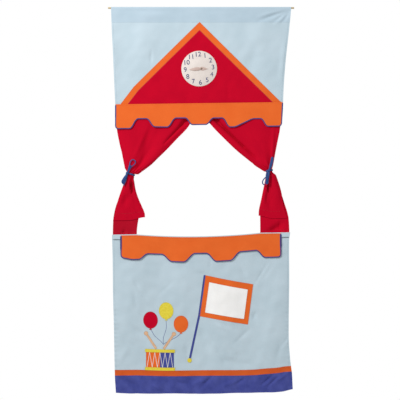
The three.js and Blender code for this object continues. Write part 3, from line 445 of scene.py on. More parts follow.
# How the cloth hangs: each layer is one cloth in front of the next, all in the same folds
hang = {
    "panelY": 1.6, "layerPitch": 1.1, "cloth": 0.8, "rise": 11, "width": 840, "drop": 450,
    "left": [[0, 0], [0.25, 0.004], [0.42, 0.009], [0.66, 0.0144], [1, 0.0226]],
    "right": [[0, 0], [0.08, 0.003], [0.25, 0.012], [0.54, 0.029], [0.79, 0.0394], [1, 0.0444]],
    "sag": 13, "sagFrom": -300, "sagTo": 276, "sill": -1058,
}
lowerCloth = {
    "width": 832, "length": 735, "twist": 8, "twistBend": 1.7, "sagLeft": 0.55, "dip": 17.5,
    "pull": [
        [0, 3.2], [0.07, 1.9], [0.35, 1.2], [0.49, 1], [0.56, 0.2], [0.63, -1.8], [0.7, -4.8], [0.77, -7],
        [0.81, -7.7], [0.84, -6.5], [0.87, -4.8], [0.907, -3.6], [0.94, -1.4], [0.965, 1.8], [1, 3.6],
    ],
    "pullBegins": (1300, 1640), "pullEnds": (1790, 1725),
    "left": [[0, 0], [0.14, 0.0035], [0.39, 0.0057], [0.55, 0.0097], [0.9, 0.0165], [1, 0.022]],
    "right": [
        [0, 0], [0.05, 0.0055], [0.3, 0.006], [0.66, 0.0087], [0.81, 0.0013], [0.91, -0.0098], [1, -0.0145],
    ],
    "foot": [
        [0, 0.17], [0.1, 0.46], [0.33, 0.31], [0.51, 0.51], [0.69, 0.67], [0.86, 1], [0.945, 0.83], [1, 0.3],
    ],
    "foldDepth": 6, "foldPitch": 230, "foldRise": 0.7, "slantPitch": 0.7, "slantShare": 0.4,
    "plain": -1094, "end": -1826, "softBegins": (1085, 1160), "bandBegins": (1700, 1735),
    "rumple": (11, 40, 130, 0.7), "bandRumple": (23, 34, 120, 2),
    "pucker": {
        "pitch": 23, "height": 1.1, "reach": 16, "atRight": 0.7, "wander": (2, 61), "begins": (1300, 1480),
    },
    "steps": [(385, -1200, 262, -1640, 30, 4)],
    "creases": [
        (311, -1190, 248, -1292, 5, -2), (330, -1205, 292, -1262, 9, -1.6),
        (256, -1418, 246, -1452, 8, -2.6), (228, -1499, 152, -1567, 7, -2.4),
        (74, -1585, 112, -1655, 9, -2.4), (374, -1560, 352, -1640, 12, -3),
        (406, -1531, 373, -1583, 5, -2), (170, -1190, 215, -1256, 13, -3),
        (-20, -1236, 30, -1246, 8, -2), (-314, -1266, -285, -1325, 7, -2.6),
        (-285, -1325, -250, -1361, 7, -2), (-316, -1325, -301, -1395, 9, -3),
        (-301, -1395, -250, -1450, 9, -3), (-203, -1344, -122, -1268, 9, -1.6),
        (-330, -1480, -256, -1546, 14, -4), (-380, -1518, -322, -1590, 11, -3.5),
        (-345, -1590, -392, -1670, 14, 3), (75, -1478, 126, -1506, 9, 3.5),
        (84, -1466, 134, -1490, 7, -3), (90, -1640, 240, -1668, 16, -4),
        (150, -1600, 210, -1660, 14, -3), (-120, -1200, -60, -1330, 30, 2),
        (-5, -1480, 40, -1640, 18, -3), (-70, -1560, -60, -1660, 14, -3), (42, -1168, 42, -1226, 8, -2),
        (238, -1416, 256, -1455, 11, -4), (-360, -1738, -299, -1766, 10, -7),
        (-224, -1757, -190, -1781, 9, 6), (-168, -1725, -143, -1766, 7, -6),
        (-122, -1741, -61, -1757, 9, -5), (0, -1769, 46, -1725, 8, -7), (-33, -1755, 14, -1734, 8, 5),
        (102, -1764, 163, -1741, 9, 4.5), (163, -1755, 210, -1727, 7, -6),
        (280, -1762, 333, -1714, 6, -7), (308, -1769, 359, -1719, 6, -6.5),
        (359, -1738, 406, -1701, 7, 6), (-300, -1700, -180, -1712, 12, -1.6),
    ],
}


def riseAt(x, z):
    return hang["rise"] * (x / hang["width"] + 0.5) * np.clip(-z / hang["drop"], 0, 1)


def upperEdges(z):
    down = np.clip(-np.asarray(z, float) / hang["drop"], 0, 1)
    width = hang["width"]
    return width * (readTable(hang["left"], down) - 0.5), width * (0.5 - readTable(hang["right"], down))


def lowerDown(z):
    return np.clip((hang["sill"] - np.asarray(z, float)) / lowerCloth["length"], 0, 1)


def lowerEdges(z):
    down, width = lowerDown(z), lowerCloth["width"]
    return (width * (readTable(lowerCloth["left"], down) - 0.5),
            width * (0.5 - readTable(lowerCloth["right"], down)))


def lowerHung(x, z):
    across = np.clip((x - hang["sagFrom"]) / (hang["sagTo"] - hang["sagFrom"]), 0, 1)
    sag = hang["sag"] * mix(1, lowerCloth["sagLeft"], smooth(lowerDown(z), 0, 1)) * 4 * across * (1 - across)
    share = np.clip(x / lowerCloth["width"] + 0.5, 0, 1)
    turned = lowerCloth["twist"] * share ** lowerCloth["twistBend"] * lowerDown(z)
    pulled = readTable(lowerCloth["pull"], share)
    pulled = pulled * smooth(-z, *lowerCloth["pullBegins"]) * smooth(-z, *lowerCloth["pullEnds"])
    return z + riseAt(x, z) + turned + pulled - sag


relief = {  # how much of a crease's height its ends keep, where a step fades, and how rumples wander
    "creaseEnds": 0.35, "stepFade": (-0.2, 0.1), "waves": 14, "wanderDown": (12, 90),
    "wanderAcross": (9, 110),
}


# How far creases stand forward; each runs from x, z to x, z, with its width, height and softness
def creased(creases, x, z):
    stand = np.zeros_like(x, dtype=float)
    ends = relief["creaseEnds"]
    for fromX, fromZ, toX, toZ, width, height, *soft in creases:
        run = np.array([toX - fromX, toZ - fromZ], float)
        t = np.clip(((x - fromX) * run[0] + (z - fromZ) * run[1]) / (run @ run), 0, 1)
        away = np.hypot(x - fromX - t * run[0], z - fromZ - t * run[1])
        along = mix(ends, 1, np.sin(np.pi * t))
        stand += height * along * np.exp(-(away / width) ** (soft[0] if soft else 2))
    return stand


# How far cloth stands forward past a line from x, z to x, z, over a width and up to a height
def stepped(steps, x, z):
    stand = np.zeros_like(x, dtype=float)
    for fromX, fromZ, toX, toZ, width, height in steps:
        run = np.array([toX - fromX, toZ - fromZ], float)
        t = ((x - fromX) * run[0] + (z - fromZ) * run[1]) / (run @ run)
        past = ((z - fromZ) * run[0] - (x - fromX) * run[1]) / math.hypot(*run)
        fade = smooth(t, *relief["stepFade"]) * smooth(1 - t, *relief["stepFade"])
        stand += height * smooth(past, -width, width) * fade
    return stand


def rumpled(rumple, x, z):  # soft unevenness of cloth that was folded away
    seed, shortest, longest, height = rumple
    chosen = np.random.default_rng(seed)
    stand = np.zeros_like(x, dtype=float)
    (low, lowPitch), (wide, widePitch) = relief["wanderDown"], relief["wanderAcross"]
    for _ in range(relief["waves"]):
        turn, phase = chosen.uniform(0, 2 * np.pi, 2)
        wave = 2 * np.pi / chosen.uniform(shortest, longest)
        bend = low * np.sin(z / lowPitch + phase) + wide * np.sin(x / widePitch - phase)
        stand += np.sin(wave * ((x + bend) * np.cos(turn) + (z + bend) * np.sin(turn)) + phase)
    return stand * height / relief["waves"] ** 0.5


upperCloth = {
    "foldDepth": 1.6, "foldPitch": 190, "plain": 109.2, "top": 67, "foot": 414, "footEdge": -464,
    "rumple": (5, 45, 120, 0.35), "softEnds": (464, 420), "dialAt": (-9, -283), "dialReach": 100,
    "creases": [
        (413, -6, 268, -60, 8, -4.4), (408, -16, 330, -70, 8, -2.5), (416, -10, 380, -66, 7, -3.2),
        (405, -2, 270, -40, 8, 2.5), (412, -20, 350, -72, 7, 2.2), (-262, -70, -275, -240, 60, 6),
        (-233, -200, -234, -256, 6, -2.5), (275, -85, 262, -190, 40, 6), (262, -190, 215, -290, 26, -4),
        (392, -150, 372, -350, 14, 3.5), (-360, -12, -150, -15, 6, -1.4), (40, -12, 170, -14, 6, -1.2),
        (-120, -40, -330, -34, 14, 0.9), (122, -360, 128, -440, 10, -2),
        (-60, -400, -75, -450, 12, -1.2), (60, -420, 210, -436, 14, 1.2),
        (-405, -150, -398, -330, 10, 1.2),
    ],
}


def upperSurface(x, z, layer=0):
    settings, hung = upperCloth, z + riseAt(x, z)
    down = np.clip((-hung - settings["top"]) / (settings["foot"] - settings["top"]), 0, 1)
    aside = smooth(np.abs(x), settings["plain"], hang["width"] / 2)
    wave = np.sin(2 * np.pi * (x / settings["foldPitch"] + down / 3))
    fold = settings["foldDepth"] * aside * np.sin(np.pi * down) * wave
    dialX, dialZ = settings["dialAt"]
    pastDial = 1 - np.exp(-((np.hypot(x - dialX, hung - dialZ) / settings["dialReach"]) ** 4))
    soft = (creased(settings["creases"], x, hung) + rumpled(settings["rumple"], x, hung)) * pastDial
    y = hang["panelY"] - hang["layerPitch"] * layer + fold - soft * smooth(-z, *settings["softEnds"])
    return x, y, hung


def lowerSurface(x, z, layer=0):
    settings, hung = lowerCloth, lowerHung(x, z)
    down = np.clip((settings["plain"] - hung) / (settings["plain"] - settings["end"]), 0, 1)
    wave = np.sin(2 * np.pi * (x / settings["foldPitch"] + down / 2))
    slant = np.sin(2 * np.pi * (x / settings["foldPitch"] * settings["slantPitch"] - down))
    fold = settings["foldDepth"] * np.sin(np.pi * down ** settings["foldRise"])
    fold = fold * mix(wave, slant, settings["slantShare"])
    left, right = lowerEdges(z)
    pucker = settings["pucker"]
    atLeft, atRight = (np.exp(-(away / pucker["reach"]) ** 2) for away in (x - left, right - x))
    stray, pitch = pucker["wander"]
    wander = stray * np.sin(z / pitch)
    tight = (atLeft + pucker["atRight"] * atRight) * np.sin(2 * np.pi * z / pucker["pitch"] + wander)
    soft = creased(settings["creases"], x, hung) + stepped(settings["steps"], x, hung)
    soft = soft + rumpled(settings["rumple"], x, hung)
    soft = soft + pucker["height"] * tight * smooth(-z, *pucker["begins"])
    soft = soft + rumpled(settings["bandRumple"], x, hung) * smooth(-z, *settings["bandBegins"])
    y = hang["panelY"] - hang["layerPitch"] * layer + fold - soft * smooth(-z, *settings["softBegins"])
    return x, y, hung


faceOf, rimOf = 0.5, 0.3  # where a cloth's face and its zigzag edging lie, as shares of a layer
sideHem, stitchStep, seamStep = 8, 6, 4
gap = 0.3  # between pieces that meet


def sideSeams(edgesAt, surface, heights):  # stitches along both side hems
    rows = []
    for side, inset in enumerate((sideHem, -sideHem)):
        points = [(edgesAt(z)[side] + inset, z) for z in heights]
        rows.append(stitchMesh(onSurface(surface, points, stitchStep)))
    return rows


# Rod: a turned dowel with eased ends
rod = {"diameter": 8, "length": 868, "ease": 0.8, "segments": 48}


def makeRod():
    bm = bmesh.new()
    turn = Matrix.Rotation(math.pi / 2, 4, "Y")
    radius = rod["diameter"] / 2 * mm
    bmesh.ops.create_cone(bm, cap_ends=True, segments=rod["segments"], radius1=radius, radius2=radius,
                          depth=rod["length"] * mm, matrix=turn)
    rims = [edge for edge in bm.edges if len(edge.link_faces) == 2
            and any(len(face.verts) > 4 for face in edge.link_faces)]
    bmesh.ops.bevel(bm, geom=rims, offset=rod["ease"] * mm, offset_type="OFFSET", segments=3,
                    profile=0.5, affect="EDGES", material=-1)
    keep("rod_dowel", toMesh("rod_dowel", bm), beech, "rod", ["hanging_rod"])


# Upper panel: one cloth, its top turned over the rod and sewn down behind
tunnel = {
    "radius": 4.7, "opening": 0.1, "seam": -67, "backSeam": -70, "seamEnd": 416, "sideEnd": -446, "flap": -77,
    "backY": 2.7, "columns": 168, "frontRows": 90, "wallRows": 14, "archRows": 13, "archCreases": -200,
    "softBelow": 30, "stitchesBehind": 0.5, "sideStitches": 60,
}


def makeUpperPanel():
    radius, rows = tunnel["radius"], tunnel["wallRows"]
    turns = np.linspace(math.pi + tunnel["opening"], -tunnel["opening"], tunnel["archRows"])
    arch = [(radius * math.cos(a), radius * math.sin(a)) for a in turns]
    heights = np.linspace(upperCloth["footEdge"], tunnel["seam"], tunnel["frontRows"])
    front = [(hang["panelY"], z) for z in heights]
    foot, backFoot = np.array(front[-1]), np.array((tunnel["backY"], tunnel["seam"]))
    rising = [mix(foot, np.array(arch[0]), k / rows) for k in range(1, rows)]
    falling = [mix(np.array(arch[-1]), backFoot, k / rows) for k in range(1, rows + 1)]
    profile = np.array([*front, *rising, *arch, *falling, (tunnel["backY"], tunnel["flap"])])
    count = len(profile) - 1
    flat = (hang["width"], float(distancesAlong(profile)[-1]))

    def laidAt(u, v):
        row = np.round((1 - v) * count).astype(int)
        y, z = profile[row, 0], profile[row, 1]
        left, right = upperEdges(z)
        x = mix(left, right, u)
        ahead = row < len(front) + len(rising)  # in front of the rod
        soft = upperSurface(x, np.where(ahead, z, tunnel["archCreases"]))[1] - hang["panelY"]
        y = y + np.where(ahead, soft * smooth(-z, 0, tunnel["softBelow"]), 0)
        return x, y, z + riseAt(x, z)

    mesh = gridMesh("upper_panel_cloth", tunnel["columns"], count, laidAt, flat)
    keep("upper_panel_cloth", mesh, shadedTunnelTaffeta, "upper_cloth", ["upper_panel"],
         hang["cloth"])
    face = lambda x, z: upperSurface(x, z, faceOf)
    back = lambda x, z: (x, np.full_like(x, tunnel["backY"] + tunnel["stitchesBehind"]), z + riseAt(x, z))
    end = tunnel["seamEnd"]
    heights = np.linspace(tunnel["backSeam"], tunnel["sideEnd"], tunnel["sideStitches"])
    seams = [
        stitchMesh(onSurface(face, [(-end, tunnel["seam"]), (end, tunnel["seam"])], seamStep)),
        *sideSeams(upperEdges, face, heights),
        stitchMesh(onSurface(back, [(-end, tunnel["backSeam"]), (end, tunnel["backSeam"])], seamStep)),
    ]
    keep("upper_panel_seams", joined("upper_panel_seams", seams), paleThread, "upper_cloth")


# Roof: an orange triangle with a red one on it, both edged in close zigzag stitches
roof = {
    "corners": [(-7, -67), (-314, -370), (-381, -457), (379, -457)], "border": 27, "edge": 2.2,
    "edgeThickness": 1, "step": 6, "areaShare": 0.52,
}


def insetOutline(outline, distances):
    moved = []
    count = len(outline)
    for k in range(count):
        start, end = Vector(outline[k]), Vector(outline[(k + 1) % count])
        way = (end - start).normalized()
        moved.append((start + Vector((-way.y, way.x)) * distances[k], way))
    corners = []
    for k in range(count):
        (first, along), (second, other) = moved[k - 1], moved[k]
        apart = second - first
        run = (apart.x * other.y - apart.y * other.x) / (along.x * other.y - along.y * other.x)
        corners.append(tuple(first + along * run))
    return corners


def makeRoof():
    for part, border, layer, (cloth, slot, thread) in (
        ("roof_border", 0, 1, orange), ("roof_gable", roof["border"], 2, red),
    ):
        outline = insetOutline(roof["corners"], (border, border, 0, border))
        mesh = patchMesh(part + "_cloth", [outline], roof["step"], lambda x, z: upperSurface(x, z, layer))
        keep(part + "_cloth", mesh, cloth, "upper_cloth", [part], hang["cloth"])
        rim = lambda x, z: upperSurface(x, z, layer + rimOf)
        path = onSurface(rim, [*outline[2::-1], outline[3]], roof["step"])
        edge = sweptMesh("edge", path, roof["edge"], roof["edgeThickness"])
        keep(part + "_edge", edge, thread, "upper_cloth")


# Clock: printed vinyl dial, two loose leaf hands and the rivet that holds them
clock = {
    "dial": 166, "middle": (-9, -283), "pin": (1, -283), "dialY": -1.7, "thickness": 0.8, "ease": 0.25,
    "steps": 128,
    "figures": {"size": 31, "bold": 0.3, "reach": (65, 66), "turn": 5.3, "relief": 0.05, "ahead": 0.86},
    "hour": {"length": 34, "width": 18, "widest": 0.7, "turn": -3, "backY": -2.9},
    "minute": {"length": 56, "width": 15, "widest": 0.52, "turn": 185, "backY": -4.3},
    "hand": {"thickness": 1, "ease": 0.3, "steps": 32, "blunt": 0.8},
}
rivet = {  # radii and Y along its own outline and along its washer's
    "steps": 32,
    "pin": [(0, -7), (2.2, -6.9), (3.4, -6.5), (4, -5.9), (3.9, -5.7), (2, -5.7), (2, 3.6), (4, 3.6),
            (4, 4.5), (3.6, 4.8), (0, 4.8)],
    "washer": [(2.3, 2.3), (6.8, 2.3), (7, 2.5), (7, 3.1), (6.8, 3.3), (2.3, 3.3), (2.3, 2.3)],
}


def leafOutline(hand):
    power = math.log(0.5) / math.log(hand["widest"])
    half, steps, blunt = hand["width"] / 2, clock["hand"]["steps"], clock["hand"]["blunt"]
    shares = [k / steps for k in range(steps + 1)]
    upper = [(mix(hand["length"], -half, along), half * math.sin(math.pi * along ** power) ** blunt)
             for along in shares]
    outline = upper + [(x, -z) for x, z in reversed(upper[1:-1])]
    a = math.radians(hand["turn"])
    return [(clock["pin"][0] + x * math.cos(a) - z * math.sin(a),
             clock["pin"][1] + x * math.sin(a) + z * math.cos(a)) for x, z in outline]


def slabMesh(name, outline, frontY, depth, ease):  # a flat plate with eased rims
    bm = bmesh.new()
    bmesh.ops.create_circle(bm, cap_ends=True, segments=len(outline), radius=1)
    moveAll(bm, [(x, frontY, z) for x, z in outline])
    grown = bmesh.ops.extrude_face_region(bm, geom=[*bm.faces])
    moved = [part for part in grown["geom"] if isinstance(part, bmesh.types.BMVert)]
    bmesh.ops.translate(bm, vec=(0, depth * mm, 0), verts=moved)
    bmesh.ops.recalc_face_normals(bm, faces=bm.faces)
    rims = [edge for edge in bm.edges if len(edge.link_faces) == 2
            and sum(len(side.verts) > 4 for side in edge.link_faces) == 1]
    bmesh.ops.bevel(bm, geom=rims, offset=ease * mm, offset_type="OFFSET", segments=2,
                    profile=0.5, affect="EDGES", material=-1)
    layPattern(bm, lambda co: (co.x, co.z))
    return toMesh(name, bm)


def turnedMesh(name, profile, place):  # radius and Y pairs spun round a pin's axis
    bm = bmesh.new()
    middle = Vector((place[0], 0, place[1])) * mm
    verts = [bm.verts.new(middle + Vector((radius, y, 0)) * mm) for radius, y in profile]
    edges = [bm.edges.new(pair) for pair in zip(verts[:-1], verts[1:])]
    bmesh.ops.spin(bm, geom=[*verts, *edges], cent=middle, axis=(0, 1, 0), angle=2 * math.pi,
                   steps=rivet["steps"], use_merge=True)
    bmesh.ops.remove_doubles(bm, verts=bm.verts, dist=mergeDistance)
    bmesh.ops.recalc_face_normals(bm, faces=bm.faces)
    return toMesh(name, bm)


def figureMesh(hour):
    figures, (middleX, middleZ) = clock["figures"], clock["middle"]
    curve = bpy.data.curves.new("figure", "FONT")
    curve.body = str(hour)
    curve.size = figures["size"] * mm
    curve.align_x, curve.align_y = "CENTER", "CENTER"
    curve.extrude = figures["relief"] * mm
    curve.offset = 0 if hour == 4 else figures["bold"] * mm  # the small eye of the 4 stays open
    figure = bpy.data.objects.new("figure", curve)
    bpy.context.scene.collection.objects.link(figure)
    bpy.context.view_layer.update()
    mesh = bpy.data.meshes.new_from_object(figure.evaluated_get(bpy.context.evaluated_depsgraph_get()))
    bpy.data.objects.remove(figure)
    turn = math.radians(figures["turn"])  # the dial isn't sewn on quite upright
    angle = math.radians(90 - 30 * hour) + turn
    across = middleX + figures["reach"][0] * math.cos(angle)
    up = middleZ + figures["reach"][1] * math.sin(angle)
    spot = Matrix.Translation(Vector((across, clock["dialY"] - figures["ahead"], up)) * mm)
    mesh.transform(spot @ Matrix.Rotation(-turn, 4, "Y") @ Matrix.Rotation(math.pi / 2, 4, "X"))
    return mesh


def makeClock():
    outline = ellipse(clock["middle"], clock["dial"], clock["dial"], clock["steps"])
    dial = slabMesh("dial", outline, clock["dialY"] - clock["thickness"], clock["thickness"], clock["ease"])
    keep("dial_vinyl", dial, dialVinyl, "upper_cloth", ["clock_dial"])
    numbers = joined("dial_figures", [figureMesh(hour) for hour in range(1, 13)])
    figures = keep("dial_figures", numbers, ink, "upper_cloth")
    for face in figures.data.polygons:
        face.use_smooth = False
    depth, ease = clock["hand"]["thickness"], clock["hand"]["ease"]
    for part in ("hour", "minute"):
        name = part + "_hand_vinyl"
        mesh = slabMesh(name, leafOutline(clock[part]), clock[part]["backY"] - depth, depth, ease)
        keep(name, mesh, handVinyl, "clock_" + part, [part + "_hand"])
    for name, profile, node in (
        ("rivet", rivet["pin"], "clock_pin"), ("rivet_washer", rivet["washer"], "pin_washer"),
    ):
        keep(name, turnedMesh(name, profile, clock["pin"]), steel, "upper_cloth", [node])


# Valances: lobed cloths, bound round the sides and lobes with a folded bias strip
valances = {
    "upper": {
        "left": -401, "right": 382.7, "slant": 6, "top": -450, "depth": 110, "lean": 8, "wave": 1.6,
        "lobes": [
            [0, 1.06], [0.095, 1.06], [0.124, 0.65], [0.196, 0.65], [0.226, 1], [0.322, 1.02],
            [0.352, 0.64], [0.429, 0.64], [0.453, 0.93], [0.555, 0.93], [0.579, 0.66], [0.651, 0.66],
            [0.681, 1.05], [0.722, 1.05], [0.824, 0.71], [0.884, 0.71], [0.908, 1.04], [1, 1.04],
        ],
    },
    "lower": {
        "left": -376, "right": 374, "slant": 0, "top": -1062, "depth": 117, "lean": 3, "wave": 0.5,
        "lobes": [
            [0, 0.9], [0.047, 0.96], [0.07, 0.99], [0.119, 0.975], [0.159, 0.73], [0.265, 0.72], [0.308, 1],
            [0.402, 1.01], [0.452, 0.67], [0.545, 0.67], [0.588, 1.01], [0.694, 1], [0.738, 0.675],
            [0.856, 0.675], [0.893, 0.98], [1, 0.97],
        ],
    },
    "corner": 13, "soften": (9, 9), "binding": 5.4, "sideBinding": {"upper": 6.5, "lower": 8.5},
    "thickness": 2.6, "widens": (75, 55), "inner": 1.5, "ripple": (31, 2, 140), "columns": 260, "rows": 26,
    "cornerSteps": 8, "lobeSteps": 300, "sideSteps": 15, "seam": (6, 5), "stitchesAhead": 0.5,
    "areaShare": 0.85,
}


def lobeDepth(sizes, x):
    corners = np.array(sizes["lobes"])
    width = sizes["right"] - sizes["left"]
    depth = np.zeros_like(x)
    reach, count = valances["soften"]
    shifts = np.linspace(-1, 1, count) * reach
    for shift in shifts:
        depth += np.interp((x + shift - sizes["left"]) / width, corners[:, 0], corners[:, 1]) * sizes["depth"]
    depth /= len(shifts)
    radius = valances["corner"]
    for side in (x - sizes["left"], sizes["right"] - x):
        off = np.clip(radius - side, 0, radius)
        depth -= radius - np.sqrt(np.maximum(radius ** 2 - off ** 2, 0))
    return depth


def makeValance(which, name, body, surface):
    sizes = valances[which]
    left, right, top = sizes["left"], sizes["right"], sizes["top"]
    width = right - left

    def hung(x, z):
        down = np.clip((top - z) / sizes["depth"], 0, 1)
        x, y, z = surface(x - sizes["slant"] * down * (x - left) / width, z)
        short, stray, long = valances["ripple"]
        ripple = sizes["wave"] * down * np.sin(x / short + stray * np.sin(x / long))
        return x, y - sizes["lean"] * down - ripple, z

    inner = valances["inner"]  # the cloth ends inside its binding

    def laidAt(u, v):
        x = mix(left + inner, right - inner, u)
        return hung(x, top - v * (lobeDepth(sizes, x) - inner))

    flat = (width, sizes["depth"])
    mesh = gridMesh(name + "_cloth", valances["columns"], valances["rows"], laidAt, flat)
    keep(name + "_cloth", mesh, orangeCotton, body, [name], hang["cloth"])

    radius, edge = valances["corner"], valances["binding"] / 2
    start, end = left + edge, right - edge
    corner, side = valances["cornerSteps"], valances["sideSteps"]
    x = np.concatenate([np.linspace(start, start + radius, corner),
                        np.linspace(start + radius, end - radius, valances["lobeSteps"])[1:],
                        np.linspace(end - radius, end, corner)[1:]])
    z = top - lobeDepth({**sizes, "left": start, "right": end}, x) + edge
    x = np.concatenate([np.full(side, x[0]), x, np.full(side, x[-1])])
    z = np.concatenate([np.linspace(top, z[0], side + 1)[:-1], z, np.linspace(z[-1], top, side + 1)[1:]])
    path = np.stack(hung(x, z), axis=1)
    place = np.arange(len(z))
    atSide = smooth(top - z, *valances["widens"]) * ((place < 2 * side) | (place > len(z) - 2 * side))
    wide = mix(valances["binding"], valances["sideBinding"][which], atSide)
    binding = sweptMesh("binding", path, wide, valances["thickness"], sides=12)
    keep(name + "_binding", binding, bindingCotton, body, [name + "_piping"])
    face = lambda x, z: tuple(np.array(hung(x, z)) - np.array([[0], [valances["stitchesAhead"]], [0]]))
    inset, drop = valances["seam"]
    seam = stitchMesh(onSurface(face, [(left + inset, top - drop), (right - inset, top - drop)], stitchStep))
    keep(name + "_seam", seam, orangeThread, body)


# Curtains and side strips: gathered cloths, packed into the ties
gather = {
    "width": 375, "length": 538, "stripLength": 612, "top": -453.5, "foldDepth": 18, "hemRise": 13,
    "tieDepth": 34, "reach": 4.5, "swell": 80, "split": 1.6, "clearance": 0.8, "frontShare": 0.62,
    "curtainFill": 0.88, "stripFill": 0.74, "rows": 200, "crowding": 1.35, "foldChange": 25,
    "depth": [[0, 0.06], [0.2, 0.3], [0.42, 0.8], [0.6, 1], [0.75, 0.8], [0.9, 0.3], [1, 0.08]],
    "pleatFloor": 0.72, "pleatSway": (0.35, 5, 3), "sagAbove": -40, "sagInward": 0.55,
    "curtainFront": 0.2, "behind": -14, "pastStrip": (12, 34), "sinkBelow": (466, 480),
    "stripDepth": 9, "stripRound": 0.6, "stripFlattened": 0.94, "stripFlattens": (0.7, 0.86),
    "stripInset": 6, "footInset": 4, "footY": 0.4, "footFrom": 0.98, "flare": 0.1,
    "planeMoves": (0.1, 0.5), "stripSettles": (0.92, 1), "hemInward": (0.5, 1), "hemDown": (0.8, 1),
    "spare": 1, "stitches": 160, "stitched": (0.02, 0.98), "stitchesAhead": 0.55,
}
curtainSides = {
    "left": {
        "sign": -1, "corner": -401, "stripWidth": 112, "tieDrop": 776, "tieWidth": 42, "tieInset": 71,
        # the left strip takes the red cotton darkened with painted shade
        "tilt": 16, "knotTurn": 60, "cutFoot": 150, "sag": 6, "stripCloth": shadedStripCotton,
        "outer": [[0, 0.005], [0.2, 0.02], [0.34, 0.057], [0.41, 0.082], [0.55, 0.12], [0.62, 0.135],
                  [0.69, 0.105], [0.755, 0.07], [0.86, 0.02], [0.93, -0.0035], [1, -0.027]],
        "inner": [
            [0, 1], [0.1, 0.98], [0.2, 0.905], [0.3, 0.768], [0.4, 0.63], [0.5, 0.478], [0.5236, 0.436],
            [0.545, 0.385], [0.562, 0.337], [0.585, 0.284], [0.605, 0.25], [0.63, 0.233], [0.66, 0.238],
            [0.755, 0.262], [0.894, 0.334], [0.96, 0.366], [1, 0.372],
        ],
        "above": [[0, 0.25], [0.1, 0.8], [0.28, 1], [0.47, 0.8], [0.6, 0.28], [0.72, 0.75], [0.83, 0.95],
                  [0.93, 0.85], [1, 0.45]],
        "below": [[0, 0.3], [0.15, 0.85], [0.4, 1], [0.6, 0.9], [0.8, 0.6], [0.9, 0.85], [1, 0.5]],
        "creases": [
            (-14, -466, -170, -631, 7, -13, 1.4), (-30, -520, -190, -682, 16, -9),
            (-50, -500, -92, -548, 11, -14), (-235, -560, -280, -700, 17, -7),
            (-331, -808, -330, -850, 1.9, -13), (-326, -800, -325, -866, 1.9, -16),
            (-321, -814, -320, -862, 1.9, -15), (-336, -868, -366, -925, 16, -6.5),
            (-250, -560, -330, -740, 10, 2),
        ],
        "stripCreases": [(-360, -1040, -361, -1060, 9, -9), (-330, -1046, -300, -1052, 8, -3)],
    },
    "right": {
        "sign": 1, "corner": 382.7, "stripWidth": 136, "tieDrop": 768, "tieWidth": 34, "tieInset": 65.5,
        "tilt": 8, "knotTurn": 92, "cutFoot": 135, "sag": 12, "stripCloth": redCotton,
        "outer": [[0, 0.008], [0.2155, 0.037], [0.354, 0.075], [0.493, 0.113], [0.58, 0.127], [0.63, 0.09],
                  [0.736, 0.037], [0.805, 0.0137], [0.875, 0], [0.944, -0.0236], [1, -0.05]],
        "inner": [
            [0, 1], [0.12, 0.962], [0.2, 0.875], [0.3, 0.737], [0.4, 0.59], [0.48, 0.452], [0.531, 0.35],
            [0.547, 0.294], [0.568, 0.233], [0.59, 0.2125], [0.61, 0.21], [0.6665, 0.224], [0.805, 0.264],
            [0.944, 0.301], [1, 0.305],
        ],
        "above": [[0, 0.3], [0.08, 0.85], [0.15, 0.6], [0.32, 1], [0.56, 0.95], [0.75, 0.8], [0.92, 0.85],
                  [1, 0.4]],
        "below": [[0, 0.4], [0.2, 0.95], [0.4, 0.9], [0.58, 0.55], [0.72, 0.8], [0.86, 1], [1, 0.4]],
        "creases": [
            (10, -466, 198, -648, 6, -22, 1.2), (180, -630, 256, -702, 7, -12, 1.4),
            (58, -504, 92, -544, 10, -12), (348, -560, 344, -680, 8, -3),
            (309, -818, 310, -856, 1.9, -14), (314, -814, 314, -862, 1.9, -15),
            (309, -856, 306, -906, 9, -6), (322, -880, 320, -930, 12, -3),
        ],
        "stripCreases": [(312, -1056, 374, -1010, 15, -13), (366, -1000, 368, -1040, 7, -5)],
    },
}
stripFolds = [[0, 0.3], [0.2, 0.95], [0.42, 0.25], [0.62, 1], [0.85, 0.4], [1, 0.8]]


def tieCentreY():
    return gather["split"] + gather["tieDepth"] * (0.5 - gather["frontShare"])


